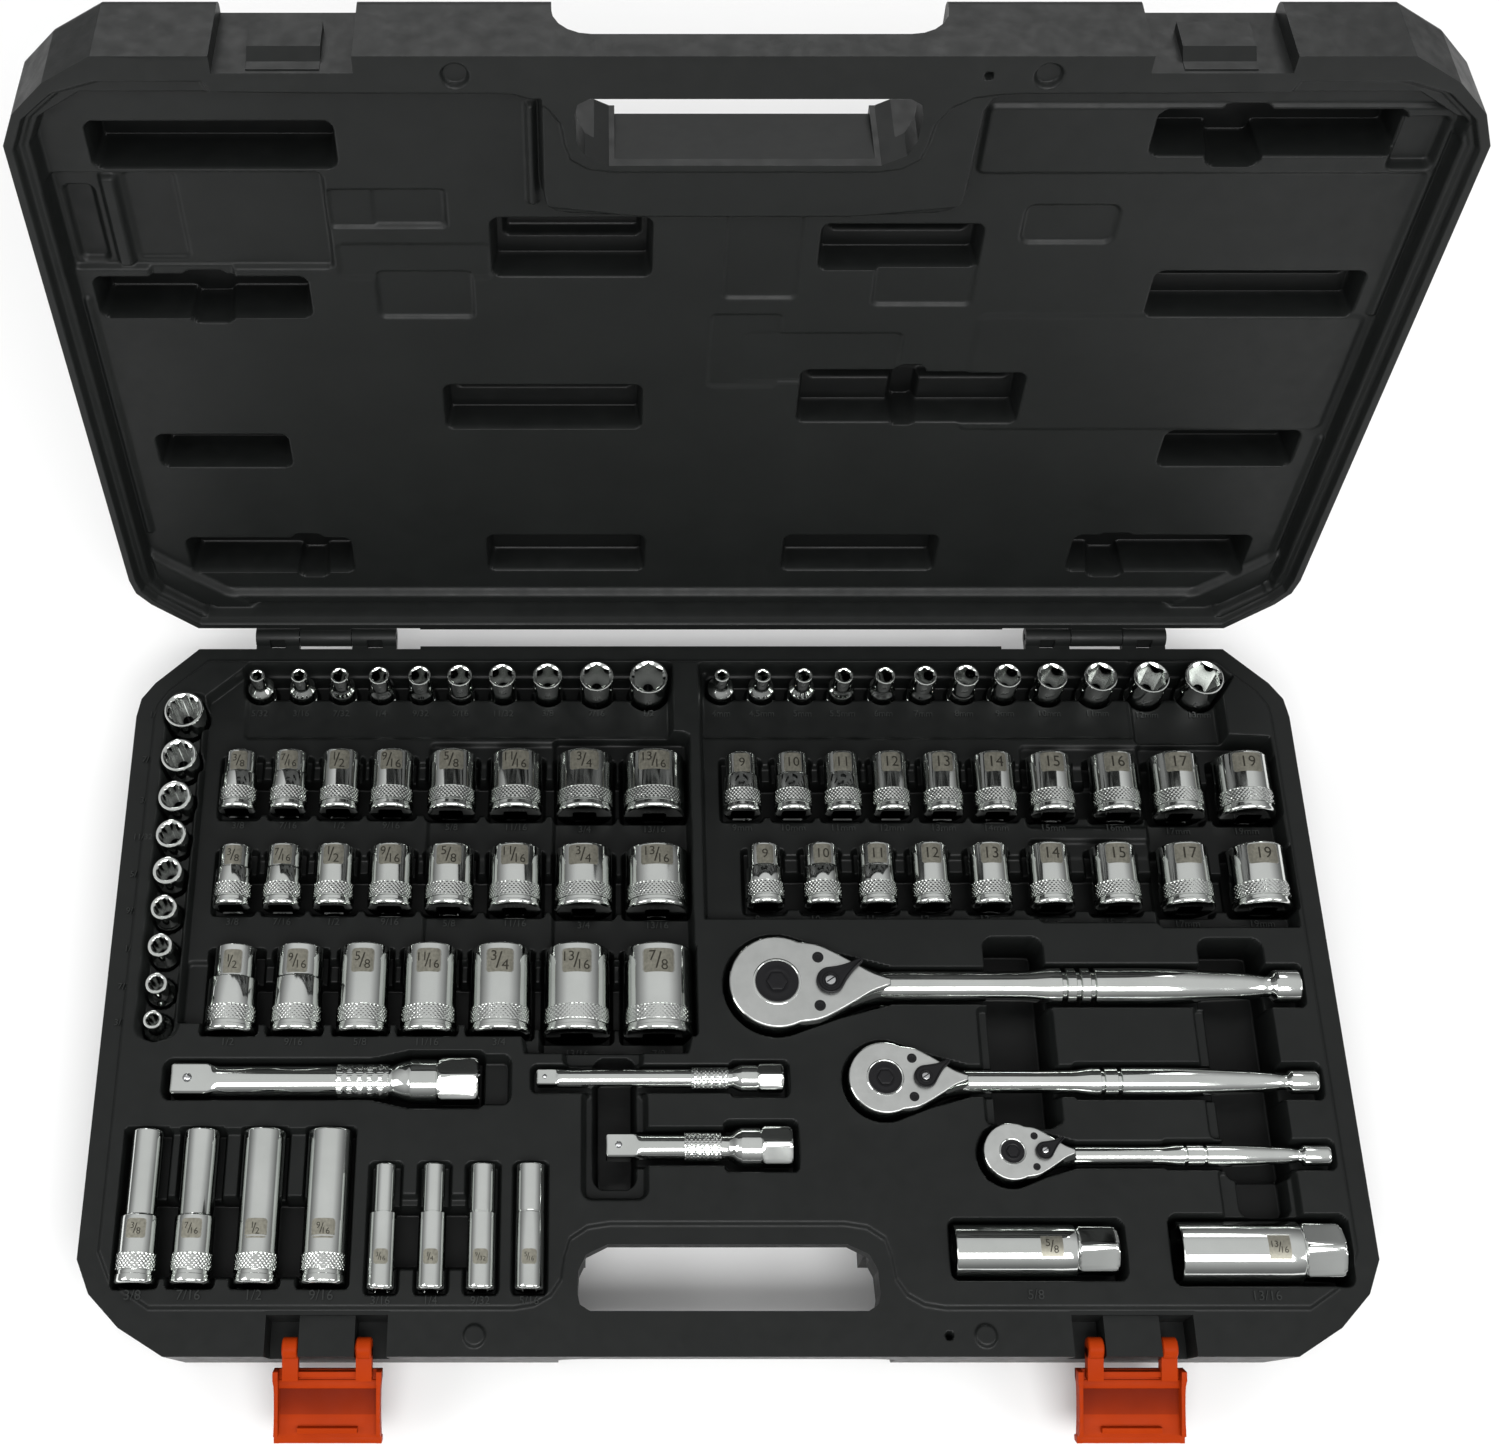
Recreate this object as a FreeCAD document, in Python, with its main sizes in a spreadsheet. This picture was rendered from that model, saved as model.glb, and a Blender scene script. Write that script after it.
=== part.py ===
import FreeCAD, Part
import Sketcher
import math
import os

# Socket wrench set in a hinged carrying case, shown with the lid open.
# Frame: origin at the centre of the underside of the base, +X to the right,
# +Y to the hinge, +Z up.  All lengths in millimetres.

doc = FreeCAD.newDocument("socket_wrench_set")
V = FreeCAD.Vector
sheet = doc.addObject("Spreadsheet::Sheet", "dims")
_row = [0]
val = {}


def cell(alias, value):
    """One driving dimension: name in column A, number in column B."""
    _row[0] += 1
    sheet.set("A%d" % _row[0], alias)
    sheet.set("B%d" % _row[0], "%.4f" % value)
    sheet.setAlias("B%d" % _row[0], alias)
    val[alias] = value
    return "dims." + alias


MAIN = dict(
    half_width=259.5, half_depth=156.5, base_height=46.0, lid_depth=33.0,
    wall=2.2, liner=1.8, seam_gap=0.3, panel_rise=1.5, terrace_drop=5.0,
    lid_recess=12.0, lid_pocket=28.9, hinge_setback=6.2, open_angle=98.96,
    knuckle_radius=4.3, hinge_pin_radius=1.6, running_gap=0.05,
    tool_crest=8.0, pocket_gap=0.4, pocket_floor_gap=0.3,
    short_socket=25.0, mid_socket=28.0, half_socket=38.0,
    deep_socket=62.0, small_deep_socket=50.0, plug_socket=65.0,
    quarter_drive=6.35, three_eighths_drive=9.525, half_drive=12.7,
    latch_width=43.0, latch_length=38.0, latch_thick=3.0, latch_pivot_radius=2.0,
    latch_open=115.0, bar_height=16.0, lid_bar_height=12.0, base_draft=5.0,
)
for k in MAIN:
    cell(k, MAIN[k])

ZR = MAIN["base_height"]
WALL = MAIN["wall"]
LIN = MAIN["liner"]
GAP = MAIN["pocket_gap"]
CREST = MAIN["tool_crest"]
HY = MAIN["half_depth"] + MAIN["hinge_setback"]
SEAM = MAIN["seam_gap"]

# ---------------------------------------------------------------- helpers


def put(obj, prop, value):
    """A size: a number, or an expression on the sheet when it is text."""
    if isinstance(value, str):
        obj.setExpression(prop, value)
    else:
        setattr(obj, prop, value)


def move(obj, base, rot=None):
    obj.Placement = FreeCAD.Placement(V(*base), rot or FreeCAD.Rotation())
    return obj


UP = FreeCAD.Rotation()
TO_Y = FreeCAD.Rotation(V(1, 0, 0), -90)    # local +Z becomes +Y
TO_X = FreeCAD.Rotation(V(0, 1, 0), 90)     # local +Z becomes +X
TO_MX = FreeCAD.Rotation(V(0, 1, 0), -90)   # local +Z becomes -X


def box(name, x0, x1, y0, y1, z0, z1):
    o = doc.addObject("Part::Box", name)
    o.Length, o.Width, o.Height = x1 - x0, y1 - y0, z1 - z0
    return move(o, (x0, y0, z0))


def ebox(name, length, width, height, base, rot=None):
    o = doc.addObject("Part::Box", name)
    put(o, "Length", length)
    put(o, "Width", width)
    put(o, "Height", height)
    return move(o, base, rot)


def cyl(name, r, h, base=(0, 0, 0), rot=None):
    o = doc.addObject("Part::Cylinder", name)
    put(o, "Radius", r)
    put(o, "Height", h)
    return move(o, base, rot)


def cone(name, r1, r2, h, base=(0, 0, 0), rot=None):
    o = doc.addObject("Part::Cone", name)
    put(o, "Radius1", r1)
    put(o, "Radius2", r2)
    put(o, "Height", h)
    return move(o, base, rot)


def prism(name, sides, r, h, base=(0, 0, 0), rot=None):
    o = doc.addObject("Part::Prism", name)
    o.Polygon = sides
    put(o, "Circumradius", r)
    put(o, "Height", h)
    return move(o, base, rot)


def ball(name, r, base):
    o = doc.addObject("Part::Sphere", name)
    put(o, "Radius", r)
    return move(o, base)


def fuse(name, objs):
    objs = list(objs)
    if len(objs) == 1:
        return objs[0]
    o = doc.addObject("Part::MultiFuse", name)
    o.Shapes = objs
    o.Refine = False
    return o


def cut(name, a, b):
    o = doc.addObject("Part::Cut", name)
    o.Base, o.Tool = a, b
    o.Refine = False
    return o


def common(name, a, b):
    o = doc.addObject("Part::MultiCommon", name)
    o.Shapes = [a, b]
    return o


def outline(name, pts, expr=None):
    """A closed polygon sketch, dimensioned from the origin."""
    sk = doc.addObject("Sketcher::SketchObject", name + "_sketch")
    n = len(pts)
    for i in range(n):
        a, b = pts[i], pts[(i + 1) % n]
        sk.addGeometry(Part.LineSegment(V(a[0], a[1], 0), V(b[0], b[1], 0)), False)
    for i in range(n):
        sk.addConstraint(Sketcher.Constraint("Coincident", i, 2, (i + 1) % n, 1))
    for i in range(n):
        for tag, v in (("X", pts[i][0]), ("Y", pts[i][1])):
            k = sk.addConstraint(Sketcher.Constraint("Distance" + tag, -1, 1, i, 1, v))
            sk.renameConstraint(k, "%s%d" % (tag.lower(), i))
    for cname, e in (expr or {}).items():
        sk.setExpression("Constraints." + cname, e)
    return sk


def poly(name, pts, z0, z1, expr=None):
    """A polygon extruded between two levels."""
    ex = doc.addObject("Part::Extrusion", name)
    ex.Base = outline(name, pts, expr)
    ex.DirMode = "Custom"
    ex.Dir = V(0, 0, 1)
    ex.LengthFwd = z1 - z0
    ex.Solid = True
    ex.Placement = FreeCAD.Placement(V(0, 0, z0), FreeCAD.Rotation())
    return ex


def inset(pts, d):
    """The same closed outline moved inwards by d (the points run clockwise or not)."""
    area = sum(pts[i][0] * pts[(i + 1) % len(pts)][1] - pts[(i + 1) % len(pts)][0] * pts[i][1]
               for i in range(len(pts)))
    sgn = 1.0 if area > 0 else -1.0
    out = []
    for i in range(len(pts)):
        p, q, r = pts[i - 1], pts[i], pts[(i + 1) % len(pts)]
        d1 = (q[0] - p[0], q[1] - p[1])
        d2 = (r[0] - q[0], r[1] - q[1])
        l1, l2 = math.hypot(*d1), math.hypot(*d2)
        n1 = (-d1[1] / l1 * sgn, d1[0] / l1 * sgn)
        n2 = (-d2[1] / l2 * sgn, d2[0] / l2 * sgn)
        k = d / (1 + n1[0] * n2[0] + n1[1] * n2[1])
        out.append((q[0] + (n1[0] + n2[0]) * k, q[1] + (n1[1] + n2[1]) * k))
    return out


def drafted(name, pts, d0, d1, z0, z1):
    """An outline moved inwards by d0 at the lower level and by d1 at the upper one."""
    ends = []
    for tag, d, z in (("_low", d0, z0), ("_high", d1, z1)):
        sk = outline(name + tag, inset(pts, d) if d else pts)
        sk.Placement = FreeCAD.Placement(V(0, 0, z), FreeCAD.Rotation())
        ends.append(sk)
    o = doc.addObject("Part::Loft", name)
    o.Sections = ends
    o.Solid = True
    o.Ruled = True
    o.Linearize = True
    return o


def arch(name, half, z_open, z_bar, r, y0, y1, grow):
    """A passage along Y under or over a bar, with its two corners at the bar rounded."""
    d = 1.0 if z_bar > z_open else -1.0
    pts = [(-half, z_open)]
    for i in range(6):
        a = math.radians(18.0 * i)
        pts.append((-half + r - r * math.cos(a), z_bar - d * (r - r * math.sin(a))))
    pts += [(-x, z) for x, z in reversed(pts)]
    o = poly(name, inset(pts, -grow) if grow else pts, 0, y1 - y0)
    o.Placement = FreeCAD.Placement(V(0, y1, 0), FreeCAD.Rotation(V(1, 0, 0), 90))
    return o


def slope(name, x0, x1, top, low, thick, side, grow):
    """A sloping slot whose face runs from top to low, both (y, z); side +1 lies before it, -1 behind."""
    a = math.atan2(low[0] - top[0], top[1] - low[1])
    h = math.hypot(low[0] - top[0], top[1] - low[1])
    y = -thick if side > 0 else -grow
    return ebox(name, x1 - x0 + 2 * grow, thick + grow, h + grow,
                (x0 - grow, low[0] + y * math.cos(a), low[1] + y * math.sin(a)),
                FreeCAD.Rotation(V(1, 0, 0), math.degrees(a)))


def mirror_x(half):
    return list(half) + [(-x, y) for x, y in reversed(half)]


def bottom_fillet(name, base, z, r):
    doc.recompute()
    o = doc.addObject("Part::Fillet", name)
    o.Base = base
    o.Edges = [(i, r, r) for i, e in enumerate(base.Shape.Edges, 1)
               if abs(e.BoundBox.ZMax - z) < 1e-3 and abs(e.BoundBox.ZMin - z) < 1e-3]
    return o


parts = {}


def node(name, obj, placement=None):
    if placement is not None:
        obj.Placement = placement
    obj.Label = name
    parts[name] = obj
    return obj


# ---------------------------------------------------------------- outlines

OUTLINE = mirror_x([(234.0, 156.5), (252.5, 139.0), (258.0, 131.0), (259.5, 122.0),
                    (259.5, -119.0), (253.5, -132.5), (240.5, -145.5), (222.0, -156.5)])
HOLE = [(-55.0, -139.0), (-59.0, -136.5), (-60.0, -132.0), (-59.5, -123.0), (-56.5, -117.0), (-48.0, -113.0),
        (48.0, -113.0), (56.5, -117.0), (59.5, -123.0), (60.0, -132.0), (59.0, -136.5), (55.0, -139.0)]
PANEL = mirror_x([(229.0, 150.0), (246.0, 134.5), (250.2, 127.5), (251.0, 121.0),
                  (251.0, -116.0), (245.5, -127.5), (229.0, -138.0), (85.0, -138.0),
                  (77.0, -136.7), (70.5, -133.0), (66.5, -127.0), (65.2, -118.0),
                  (63.0, -111.0), (56.0, -106.4), (47.0, -105.0)])

NOTCH = (134.5, 182.5)          # latch notch, right-hand side
LATCH_X = 158.5
PIVOT_Y, PIVOT_Z = -152.0, ZR - 7.0
HINGES = ((-208.0, -188.3, -187.9, -164.6, -164.2, -144.0),
          (144.0, 164.2, 164.6, 187.9, 188.3, 208.0))

# ---------------------------------------------------------------- base, outer wall

DRAFT = MAIN["base_draft"]
base_block = bottom_fillet("base_round", drafted("base_block", OUTLINE, DRAFT, 0, 0, ZR), 0.0, 4.0)
bar_z = ZR - MAIN["bar_height"]


def base_openings(tag, grow):
    objs = [poly("hole" + tag, inset(HOLE, -grow) if grow else HOLE, -1, ZR + 2),
            arch("under_bar" + tag, 68.0, -4.0, bar_z, 13.0, -170, -113 + grow, grow),
            slope("hole_back" + tag, -57.0, 57.0, (-113.0, ZR - 6), (-102.5, -2.0), 14.0, 1, grow)]
    for s in (-1, 1):
        x0, x1 = sorted((s * (NOTCH[0] - grow), s * (NOTCH[1] + grow)))
        objs.append(box("latch_notch" + tag, x0, x1, -170, -140.5 + grow, ZR - 16 - grow, ZR + 2))
    return fuse("base_openings" + tag, objs)


base_outer = cut("base_outer", base_block, base_openings("", 0.0))
base_cavity = cut("base_cavity", drafted("base_inside", OUTLINE, WALL + DRAFT * (1 - WALL / ZR), WALL - DRAFT / ZR, WALL, ZR + 1),
                  base_openings("_wall", WALL))
base_pan = cut("base_pan", base_outer, base_cavity)
doc.recompute()

fittings, bores = [], []
for h in HINGES:
    for a, b in ((h[0], h[1]), (h[4], h[5])):
        fittings.append(cyl("base_knuckle", "dims.knuckle_radius", b - a, (a, HY, ZR), TO_X))
        fittings.append(box("base_knuckle_arm", a, b, 155.5, HY, ZR - 4.3, ZR - 0.4))
    bores.append(cyl("pin_bore", "dims.hinge_pin_radius + 0.02", h[5] - h[0] + 4, (h[0] - 2, HY, ZR), TO_X))
for a in (h_ for hh in HINGES for h_ in (hh[0] + 6.3, hh[5] - 13.3)):
    bores.append(box("knuckle_window", a, a + 7, 157.4, 159.6, ZR - 6, ZR + 6))
fittings.append(box("back_lip", -133, 133, 155.5, 158.2, ZR - 2.6, ZR - 0.5))
for s in (-1, 1):
    xc = s * LATCH_X
    fittings.append(box("latch_block", xc - 11, xc + 11, -156.0, -140.0, ZR - 16.5, ZR - 2.5))
    bores.append(cyl("latch_bore", "dims.latch_pivot_radius + dims.running_gap", 24, (xc - 12, PIVOT_Y, PIVOT_Z), TO_X))
node("base_shell", cut("base_shell", fuse("base_solid", [base_pan] + fittings), fuse("base_bores", bores)))

pins = []
for h in HINGES:
    pins.append(cyl("hinge_pin", "dims.hinge_pin_radius", h[5] - h[0] - 1, (h[0] + 0.5, HY, ZR), TO_X))
pin_group = doc.addObject("Part::Compound", "hinge_pins")
pin_group.Links = pins
node("hinge_pins", pin_group)

# ---------------------------------------------------------------- the tools' places

# standing sockets: centre x, centre y, opening across flats, top diameter, foot diameter
TWELVE = [(-236.7, 121.8, 12.70, 17.4, 17.4), (-236.9, 99.4, 11.11, 15.8, 15.8), (-237.0, 79.6, 9.53, 14.4, 14.4),
          (-237.0, 61.8, 8.73, 13.2, 13.2), (-237.0, 44.6, 7.94, 12.6, 12.6), (-237.0, 27.7, 7.14, 11.2, 12.0),
          (-237.0, 10.6, 6.35, 10.4, 12.0), (-237.0, -6.3, 5.56, 9.2, 12.0), (-237.0, -22.1, 4.76, 8.0, 12.0)]
INCH_ROW = [(-205.2, 138.9, 3.97, 6.8, 12.0), (-186.4, 138.9, 4.76, 7.4, 12.0), (-168.2, 138.9, 5.56, 8.2, 12.0),
            (-150.4, 138.9, 6.35, 9.2, 12.0), (-132.2, 138.9, 7.14, 10.2, 12.0), (-114.1, 138.9, 7.94, 11.2, 12.0),
            (-94.9, 138.9, 8.73, 12.2, 12.2), (-74.5, 138.7, 9.53, 13.4, 13.4), (-52.3, 138.5, 11.11, 15.2, 15.2),
            (-28.9, 138.2, 12.70, 17.0, 17.0)]
METRIC_ROW = [(4.2, 138.9, 4.0, 6.8, 12.0), (22.6, 138.9, 4.5, 7.4, 12.0), (41.1, 138.9, 5.0, 7.8, 12.0),
              (59.2, 138.9, 5.5, 8.4, 12.0), (77.8, 138.9, 6.0, 9.0, 12.0), (95.9, 138.9, 7.0, 10.3, 12.0),
              (114.4, 138.9, 8.0, 11.3, 12.0), (132.9, 138.8, 9.0, 12.3, 12.3), (153.0, 138.6, 10.0, 13.7, 13.7),
              (174.8, 138.4, 11.0, 15.0, 15.0), (197.6, 138.2, 12.0, 16.2, 16.2), (221.4, 138.0, 13.0, 17.4, 17.4)]
# lying sockets: centre x, opening across flats, nut-end diameter, drive-end diameter
ROW2_LEFT = [(-210.5, 9.53, 14.2, 16.6), (-188.4, 11.11, 15.4, 16.8), (-166.0, 12.70, 17.4, 17.8), (-143.0, 14.29, 19.0, 19.4),
             (-116.5, 15.88, 21.2, 21.6), (-88.1, 17.46, 23.2, 23.6), (-57.7, 19.05, 25.0, 25.4), (-26.9, 20.64, 27.2, 27.6)]
ROW3_LEFT = [(-209.5, 9.53, 14.2, 16.6), (-188.1, 11.11, 15.4, 16.8), (-166.0, 12.70, 17.4, 17.8), (-141.6, 14.29, 19.0, 19.4),
             (-116.2, 15.88, 21.2, 21.6), (-87.8, 17.46, 23.2, 23.6), (-58.0, 19.05, 25.0, 25.4), (-26.2, 20.64, 27.2, 27.6)]
ROW2_RIGHT = [(11.9, 9.0, 14.2, 16.8), (34.3, 10.0, 15.0, 16.8), (56.3, 11.0, 15.8, 17.0), (77.7, 12.0, 16.6, 17.0),
              (100.5, 13.0, 17.6, 18.0), (123.8, 14.0, 18.8, 19.2), (148.9, 15.0, 20.2, 20.6), (177.4, 16.0, 21.4, 21.8),
              (204.8, 17.0, 22.8, 23.2), (235.2, 19.0, 25.2, 25.6)]
ROW3_RIGHT = [(20.5, 9.0, 14.2, 16.8), (45.3, 10.0, 15.0, 16.8), (69.1, 11.0, 15.8, 17.0), (92.4, 12.0, 16.6, 17.0),
              (118.2, 13.0, 17.6, 18.0), (144.3, 14.0, 18.8, 19.2), (173.0, 15.0, 20.2, 20.6), (203.5, 17.0, 22.8, 23.2),
              (235.9, 19.0, 25.2, 25.6)]
ROW4_LEFT = [(-206.2, 11.11, 17.8, 21.8), (-178.7, 12.70, 19.8, 21.8), (-151.0, 14.29, 21.6, 22.0), (-123.2, 17.46, 23.2, 23.6),
             (-93.1, 19.05, 25.8, 26.2), (-60.7, 20.64, 28.0, 28.4), (-26.2, 22.23, 29.6, 30.0)]
DEEP38 = [(-235.6, 9.53, 13.0, 16.6), (-213.5, 11.11, 14.6, 17.0), (-187.9, 12.70, 17.4, 17.8), (-161.1, 14.29, 18.4, 18.8)]
DEEP14 = [(-137.7, 4.76, 8.4, 11.2), (-118.0, 6.35, 9.0, 11.4), (-98.3, 7.14, 10.2, 11.7), (-79.0, 7.94, 11.5, 11.7)]
# row: items, centre y, length cell, drive cell, drive-end length share
LYING = {
    "sockets_inch_shallow": (ROW2_LEFT, 88.9, "mid_socket", "three_eighths_drive", 0.62),
    "sockets_inch_lower": (ROW3_LEFT, 43.8, "mid_socket", "three_eighths_drive", 0.62),
    "sockets_metric_upper": (ROW2_RIGHT, 87.8, "mid_socket", "three_eighths_drive", 0.62),
    "sockets_metric_lower": (ROW3_RIGHT, 44.3, "mid_socket", "three_eighths_drive", 0.62),
    "sockets_half_drive": (ROW4_LEFT, -6.8, "half_socket", "half_drive", 0.62),
    "sockets_deep": (DEEP38, -98.4, "deep_socket", "three_eighths_drive", 0.40),
    "sockets_small_deep": (DEEP14, -106.8, "small_deep_socket", "quarter_drive", 0.57),
}
STANDING = {"sockets_twelve_point": (TWELVE, True), "sockets_inch_small": (INCH_ROW, False),
            "sockets_metric_small": (METRIC_ROW, False)}
HEX_R = 1.0 / math.sqrt(3.0)


def socket(tag, af, nut, drv, length, drive, share, base, rot, twelve=False):
    """A socket along its own +Z: drive end at 0, nut end at the full length."""
    a, n, d = cell(tag + "_af", af), cell(tag + "_nut", nut), cell(tag + "_foot", drv)
    body = []
    if nut < drv - 0.6:
        body.append(cyl(tag + "_foot", d + "/2", "%s*%g" % (length, share)))
        body.append(cone(tag + "_neck", d + "/2", n + "/2", 1.2, (0, 0, val[length[5:]] * share)))
        body.append(cyl(tag + "_head", n + "/2", "%s*%g" % (length, 1 - share), (0, 0, val[length[5:]] * share)))
    else:
        body.append(cyl(tag + "_body", d + "/2", length))
    solid = fuse(tag + "_solid", body)
    ll = val[length[5:]]
    sq = val[drive[5:]]
    depth = min(0.5 * ll, ll - sq * 1.25)
    tools = [prism(tag + "_hex", 6, "%s*%.6f" % (a, HEX_R), depth + 1, (0, 0, ll - depth))]
    if twelve:
        tools.append(prism(tag + "_hex2", 6, "%s*%.6f" % (a, HEX_R), depth + 1, (0, 0, ll - depth),
                           FreeCAD.Rotation(V(0, 0, 1), 30)))
    q = ebox(tag + "_square", drive, drive, sq * 1.2 + 1, (-sq / 2, -sq / 2, -1))
    tools.append(q)
    tools.append(cyl(tag + "_through", min(sq, af) * 0.36, ll, (0, 0, 0.5)))
    o = cut(tag, solid, fuse(tag + "_openings", tools))
    o.Placement = FreeCAD.Placement(V(*base), rot)
    return o


def group(name, objs):
    g = doc.addObject("Part::Compound", name)
    g.Links = objs
    return node(name, g)


for name, (items, twelve) in STANDING.items():
    objs = []
    for i, (x, y, af, top, foot) in enumerate(items, 1):
        objs.append(socket("%s_%d" % (name[8:], i), af, top, foot, "dims.short_socket", "dims.quarter_drive", 0.5,
                           (x, y, ZR + CREST - MAIN["short_socket"]), UP, twelve))
    group(name, objs)
for name, (items, yc, lcell, dcell, share) in LYING.items():
    objs = []
    for i, (x, af, nut, drv) in enumerate(items, 1):
        objs.append(socket("%s_%d" % (name[8:], i), af, nut, drv, "dims." + lcell, "dims." + dcell, share,
                           (x, yc - MAIN[lcell] / 2, ZR + CREST - drv / 2), TO_Y))
    group(name, objs)
doc.recompute()

# ---------------------------------------------------------------- base, inner wall with its pockets

inner, outer = [], []


def pocket(tag, x0, x1, y0, y1, z0, ztop=ZR + 3.0):
    inner.append(box(tag, x0, x1, y0, y1, z0, ztop))
    outer.append(box(tag + "_wall", x0 - LIN, x1 + LIN, y0 - LIN, y1 + LIN, z0 - LIN, ZR - 0.2))


pocket("left_terrace", -228.0, -10.5, -29.5, 148.2, ZR - MAIN["terrace_drop"])
pocket("right_terrace", -6.0, 229.4, 26.5, 148.2, ZR - MAIN["terrace_drop"])
pocket("right_terrace_low", 200.0, 249.2, 27.1, 110.6, ZR - MAIN["terrace_drop"] - 0.1)
for name, (items, twelve) in STANDING.items():
    for i, (x, y, af, top, foot) in enumerate(items, 1):
        tag = "%s_%d_hole" % (name[8:], i)
        r = "dims.%s_%d_foot/2 + dims.pocket_gap" % (name[8:], i)
        z0 = ZR + CREST - MAIN["short_socket"] - MAIN["pocket_floor_gap"]
        inner.append(cyl(tag, r, 30, (x, y, z0)))
        outer.append(cyl(tag + "_wall", r + " + dims.liner", ZR - 0.5 - z0 + LIN, (x, y, z0 - LIN)))
pocket("column_channel", -245.2, -228.6, -30.0, 131.5, ZR - 3.0)
for name, (items, yc, lcell, dcell, share) in LYING.items():
    half = MAIN[lcell] / 2 + 0.9
    for i, (x, af, nut, drv) in enumerate(items, 1):
        pocket("%s_%d_bed" % (name[8:], i), x - drv / 2 - GAP, x + drv / 2 + GAP, yc - half, yc + half,
               ZR + CREST - drv - MAIN["pocket_floor_gap"])
    x0, x1 = items[0][0], items[-1][0]
    pocket(name[8:] + "_finger_channel", x0, x1, yc - 7, yc + 5, ZR - 13.0)

EXT_HALF = dict(x0=-228.2, x1=-101.2, y=-45.8, z=ZR + CREST - 10.3)
EXT_QUARTER = dict(x0=-77.2, x1=24.6, y=-45.6, z=ZR + CREST - 6.2)
EXT_MID = dict(x0=-48.6, x1=27.4, y=-73.7, z=ZR + CREST - 9.0)
pocket("long_extension_bed", -230.6, -131.5, -45.8 - 7.8, -45.8 + 7.8, EXT_HALF["z"] - 7.8)
pocket("long_extension_head_bed", -139.0, -88.0, -45.8 - 10.8, -45.8 + 10.8, EXT_HALF["z"] - 10.7)
pocket("small_extension_bed", -79.2, 26.6, -45.6 - 6.6, -45.6 + 6.6, EXT_QUARTER["z"] - 6.6)
pocket("mid_extension_bed", -50.6, 29.4, -73.7 - 9.5, -73.7 + 9.5, EXT_MID["z"] - 9.4)
pocket("small_trough", -53.0, -33.0, -87.0, -34.0, ZR - 20.0)
pocket("plug_socket_small_bed", 88.0, 156.8, -115.3 - 11.2, -115.3 + 11.2, ZR + CREST - 21.6)
pocket("plug_socket_large_bed", 176.5, 247.4, -115.6 - 13.0, -115.6 + 13.0, ZR + CREST - 25.4)

# ratchets: place of the drive axis and the sizes of head, handle and drive
RATCHETS = {
    "half": dict(x=23.4, y=-5.2, R=20.4, T=21.0, disc=9.2, lever=22.3, hub=5.9, tip=17.0, screw=(17.6, 10.6), vee=42.0,
                 shaft=6.4, grip=7.8, rings=(121.0, 127.0, 133.0), knob=(211.0, 7.1), end=220.6, drive="half_drive",
                 square=15.5, button=4.4, sr=2.4, cover=2.4, flat=7.0),
    "mid": dict(x=66.3, y=-46.6, R=15.2, T=18.0, disc=7.0, lever=16.4, hub=4.8, tip=12.6, screw=(11.4, 8.1), vee=30.0,
                shaft=4.9, grip=6.1, rings=(90.0, 97.0), knob=(168.5, 5.0), end=179.2, drive="three_eighths_drive",
                square=11.0, button=3.4, sr=2.0, cover=2.0, flat=7.0),
    "small": dict(x=115.9, y=-77.3, R=11.8, T=14.0, disc=4.9, lever=12.8, hub=3.7, tip=9.9, screw=(9.2, 6.3), vee=22.5,
                  shaft=3.7, grip=4.5, rings=(71.0, 79.0), knob=(119.7, 4.2), end=130.0, drive="quarter_drive",
                  square=7.5, button=2.5, sr=1.5, cover=1.6, flat=7.0),
}
for k, q in RATCHETS.items():
    x, y = q["x"], q["y"]
    top = ZR + q["flat"]
    pocket(k + "_ratchet_head_bed", x - q["R"] - 0.6, x + q["vee"] + 2, y - q["R"] - 0.6, y + q["R"] + 0.6, top - q["T"] - 0.5)
    pocket(k + "_ratchet_square_bed", x - 11, x + 11, y - 11, y + 11, top - q["T"] - q["square"] - 1.2)
    pocket(k + "_ratchet_handle_bed", x + q["vee"] - 4, x + q["end"] + 1.5, y - q["grip"] - 1.8, y + q["grip"] + 1.8, ZR - q["grip"] - 1.0)
pocket("trough_left", 113.0, 138.0, -62.0, 15.0, ZR - 20.0)
pocket("trough_right", 203.0, 230.0, -100.0, 15.0, ZR - 20.0)

slab = box("land_slab", -300, 300, -200, 200, ZR - LIN, ZR)
land = cut("land", common("land_sheet", base_cavity, slab), poly("panel_opening", PANEL, ZR - 6, ZR + 6))
panel = cut("panel", poly("panel_block", PANEL, ZR - LIN, ZR + MAIN["panel_rise"]),
            poly("panel_inside", inset(PANEL, LIN), ZR - 6, ZR + MAIN["panel_rise"] - LIN))
for s in (-1, 1):
    outer.append(cyl("closing_bump", 4.5, 3.0, (s * 100.3, -148.5, ZR - 1.5)))
tray_solid = fuse("tray_solid", [land, panel] + outer)
inner.append(cyl("blow_hole", 1.3, 10, (86.0, -148.5, ZR - 6)))
tray = cut("tray", tray_solid, fuse("tray_pockets", inner))
doc.recompute()


def split(obj, cells, z0, z1, placement=None):
    """One moulding kept as adjoining nodes, divided along upright planes."""
    for name, (x0, x1, y0, y1) in cells.items():
        node(name, common(name, obj, box(name + "_range", x0, x1, y0, y1, z0, z1)), placement)


split(tray, {"tray_back_left": (-300, -84.9, 20.2, 300), "tray_back_middle": (-84.9, 76.5, 20.2, 300),
             "tray_back_right": (76.5, 300, 20.2, 300), "tray_front_left": (-300, -89.2, -300, 20.2),
             "tray_front_middle": (-89.2, 74.0, -300, 20.2), "tray_front_right": (74.0, 300, -300, 20.2)}, -5, ZR + 20)
doc.recompute()

# ---------------------------------------------------------------- lid, drawn flat: +Y away from the hinge, +Z to the inside

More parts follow.
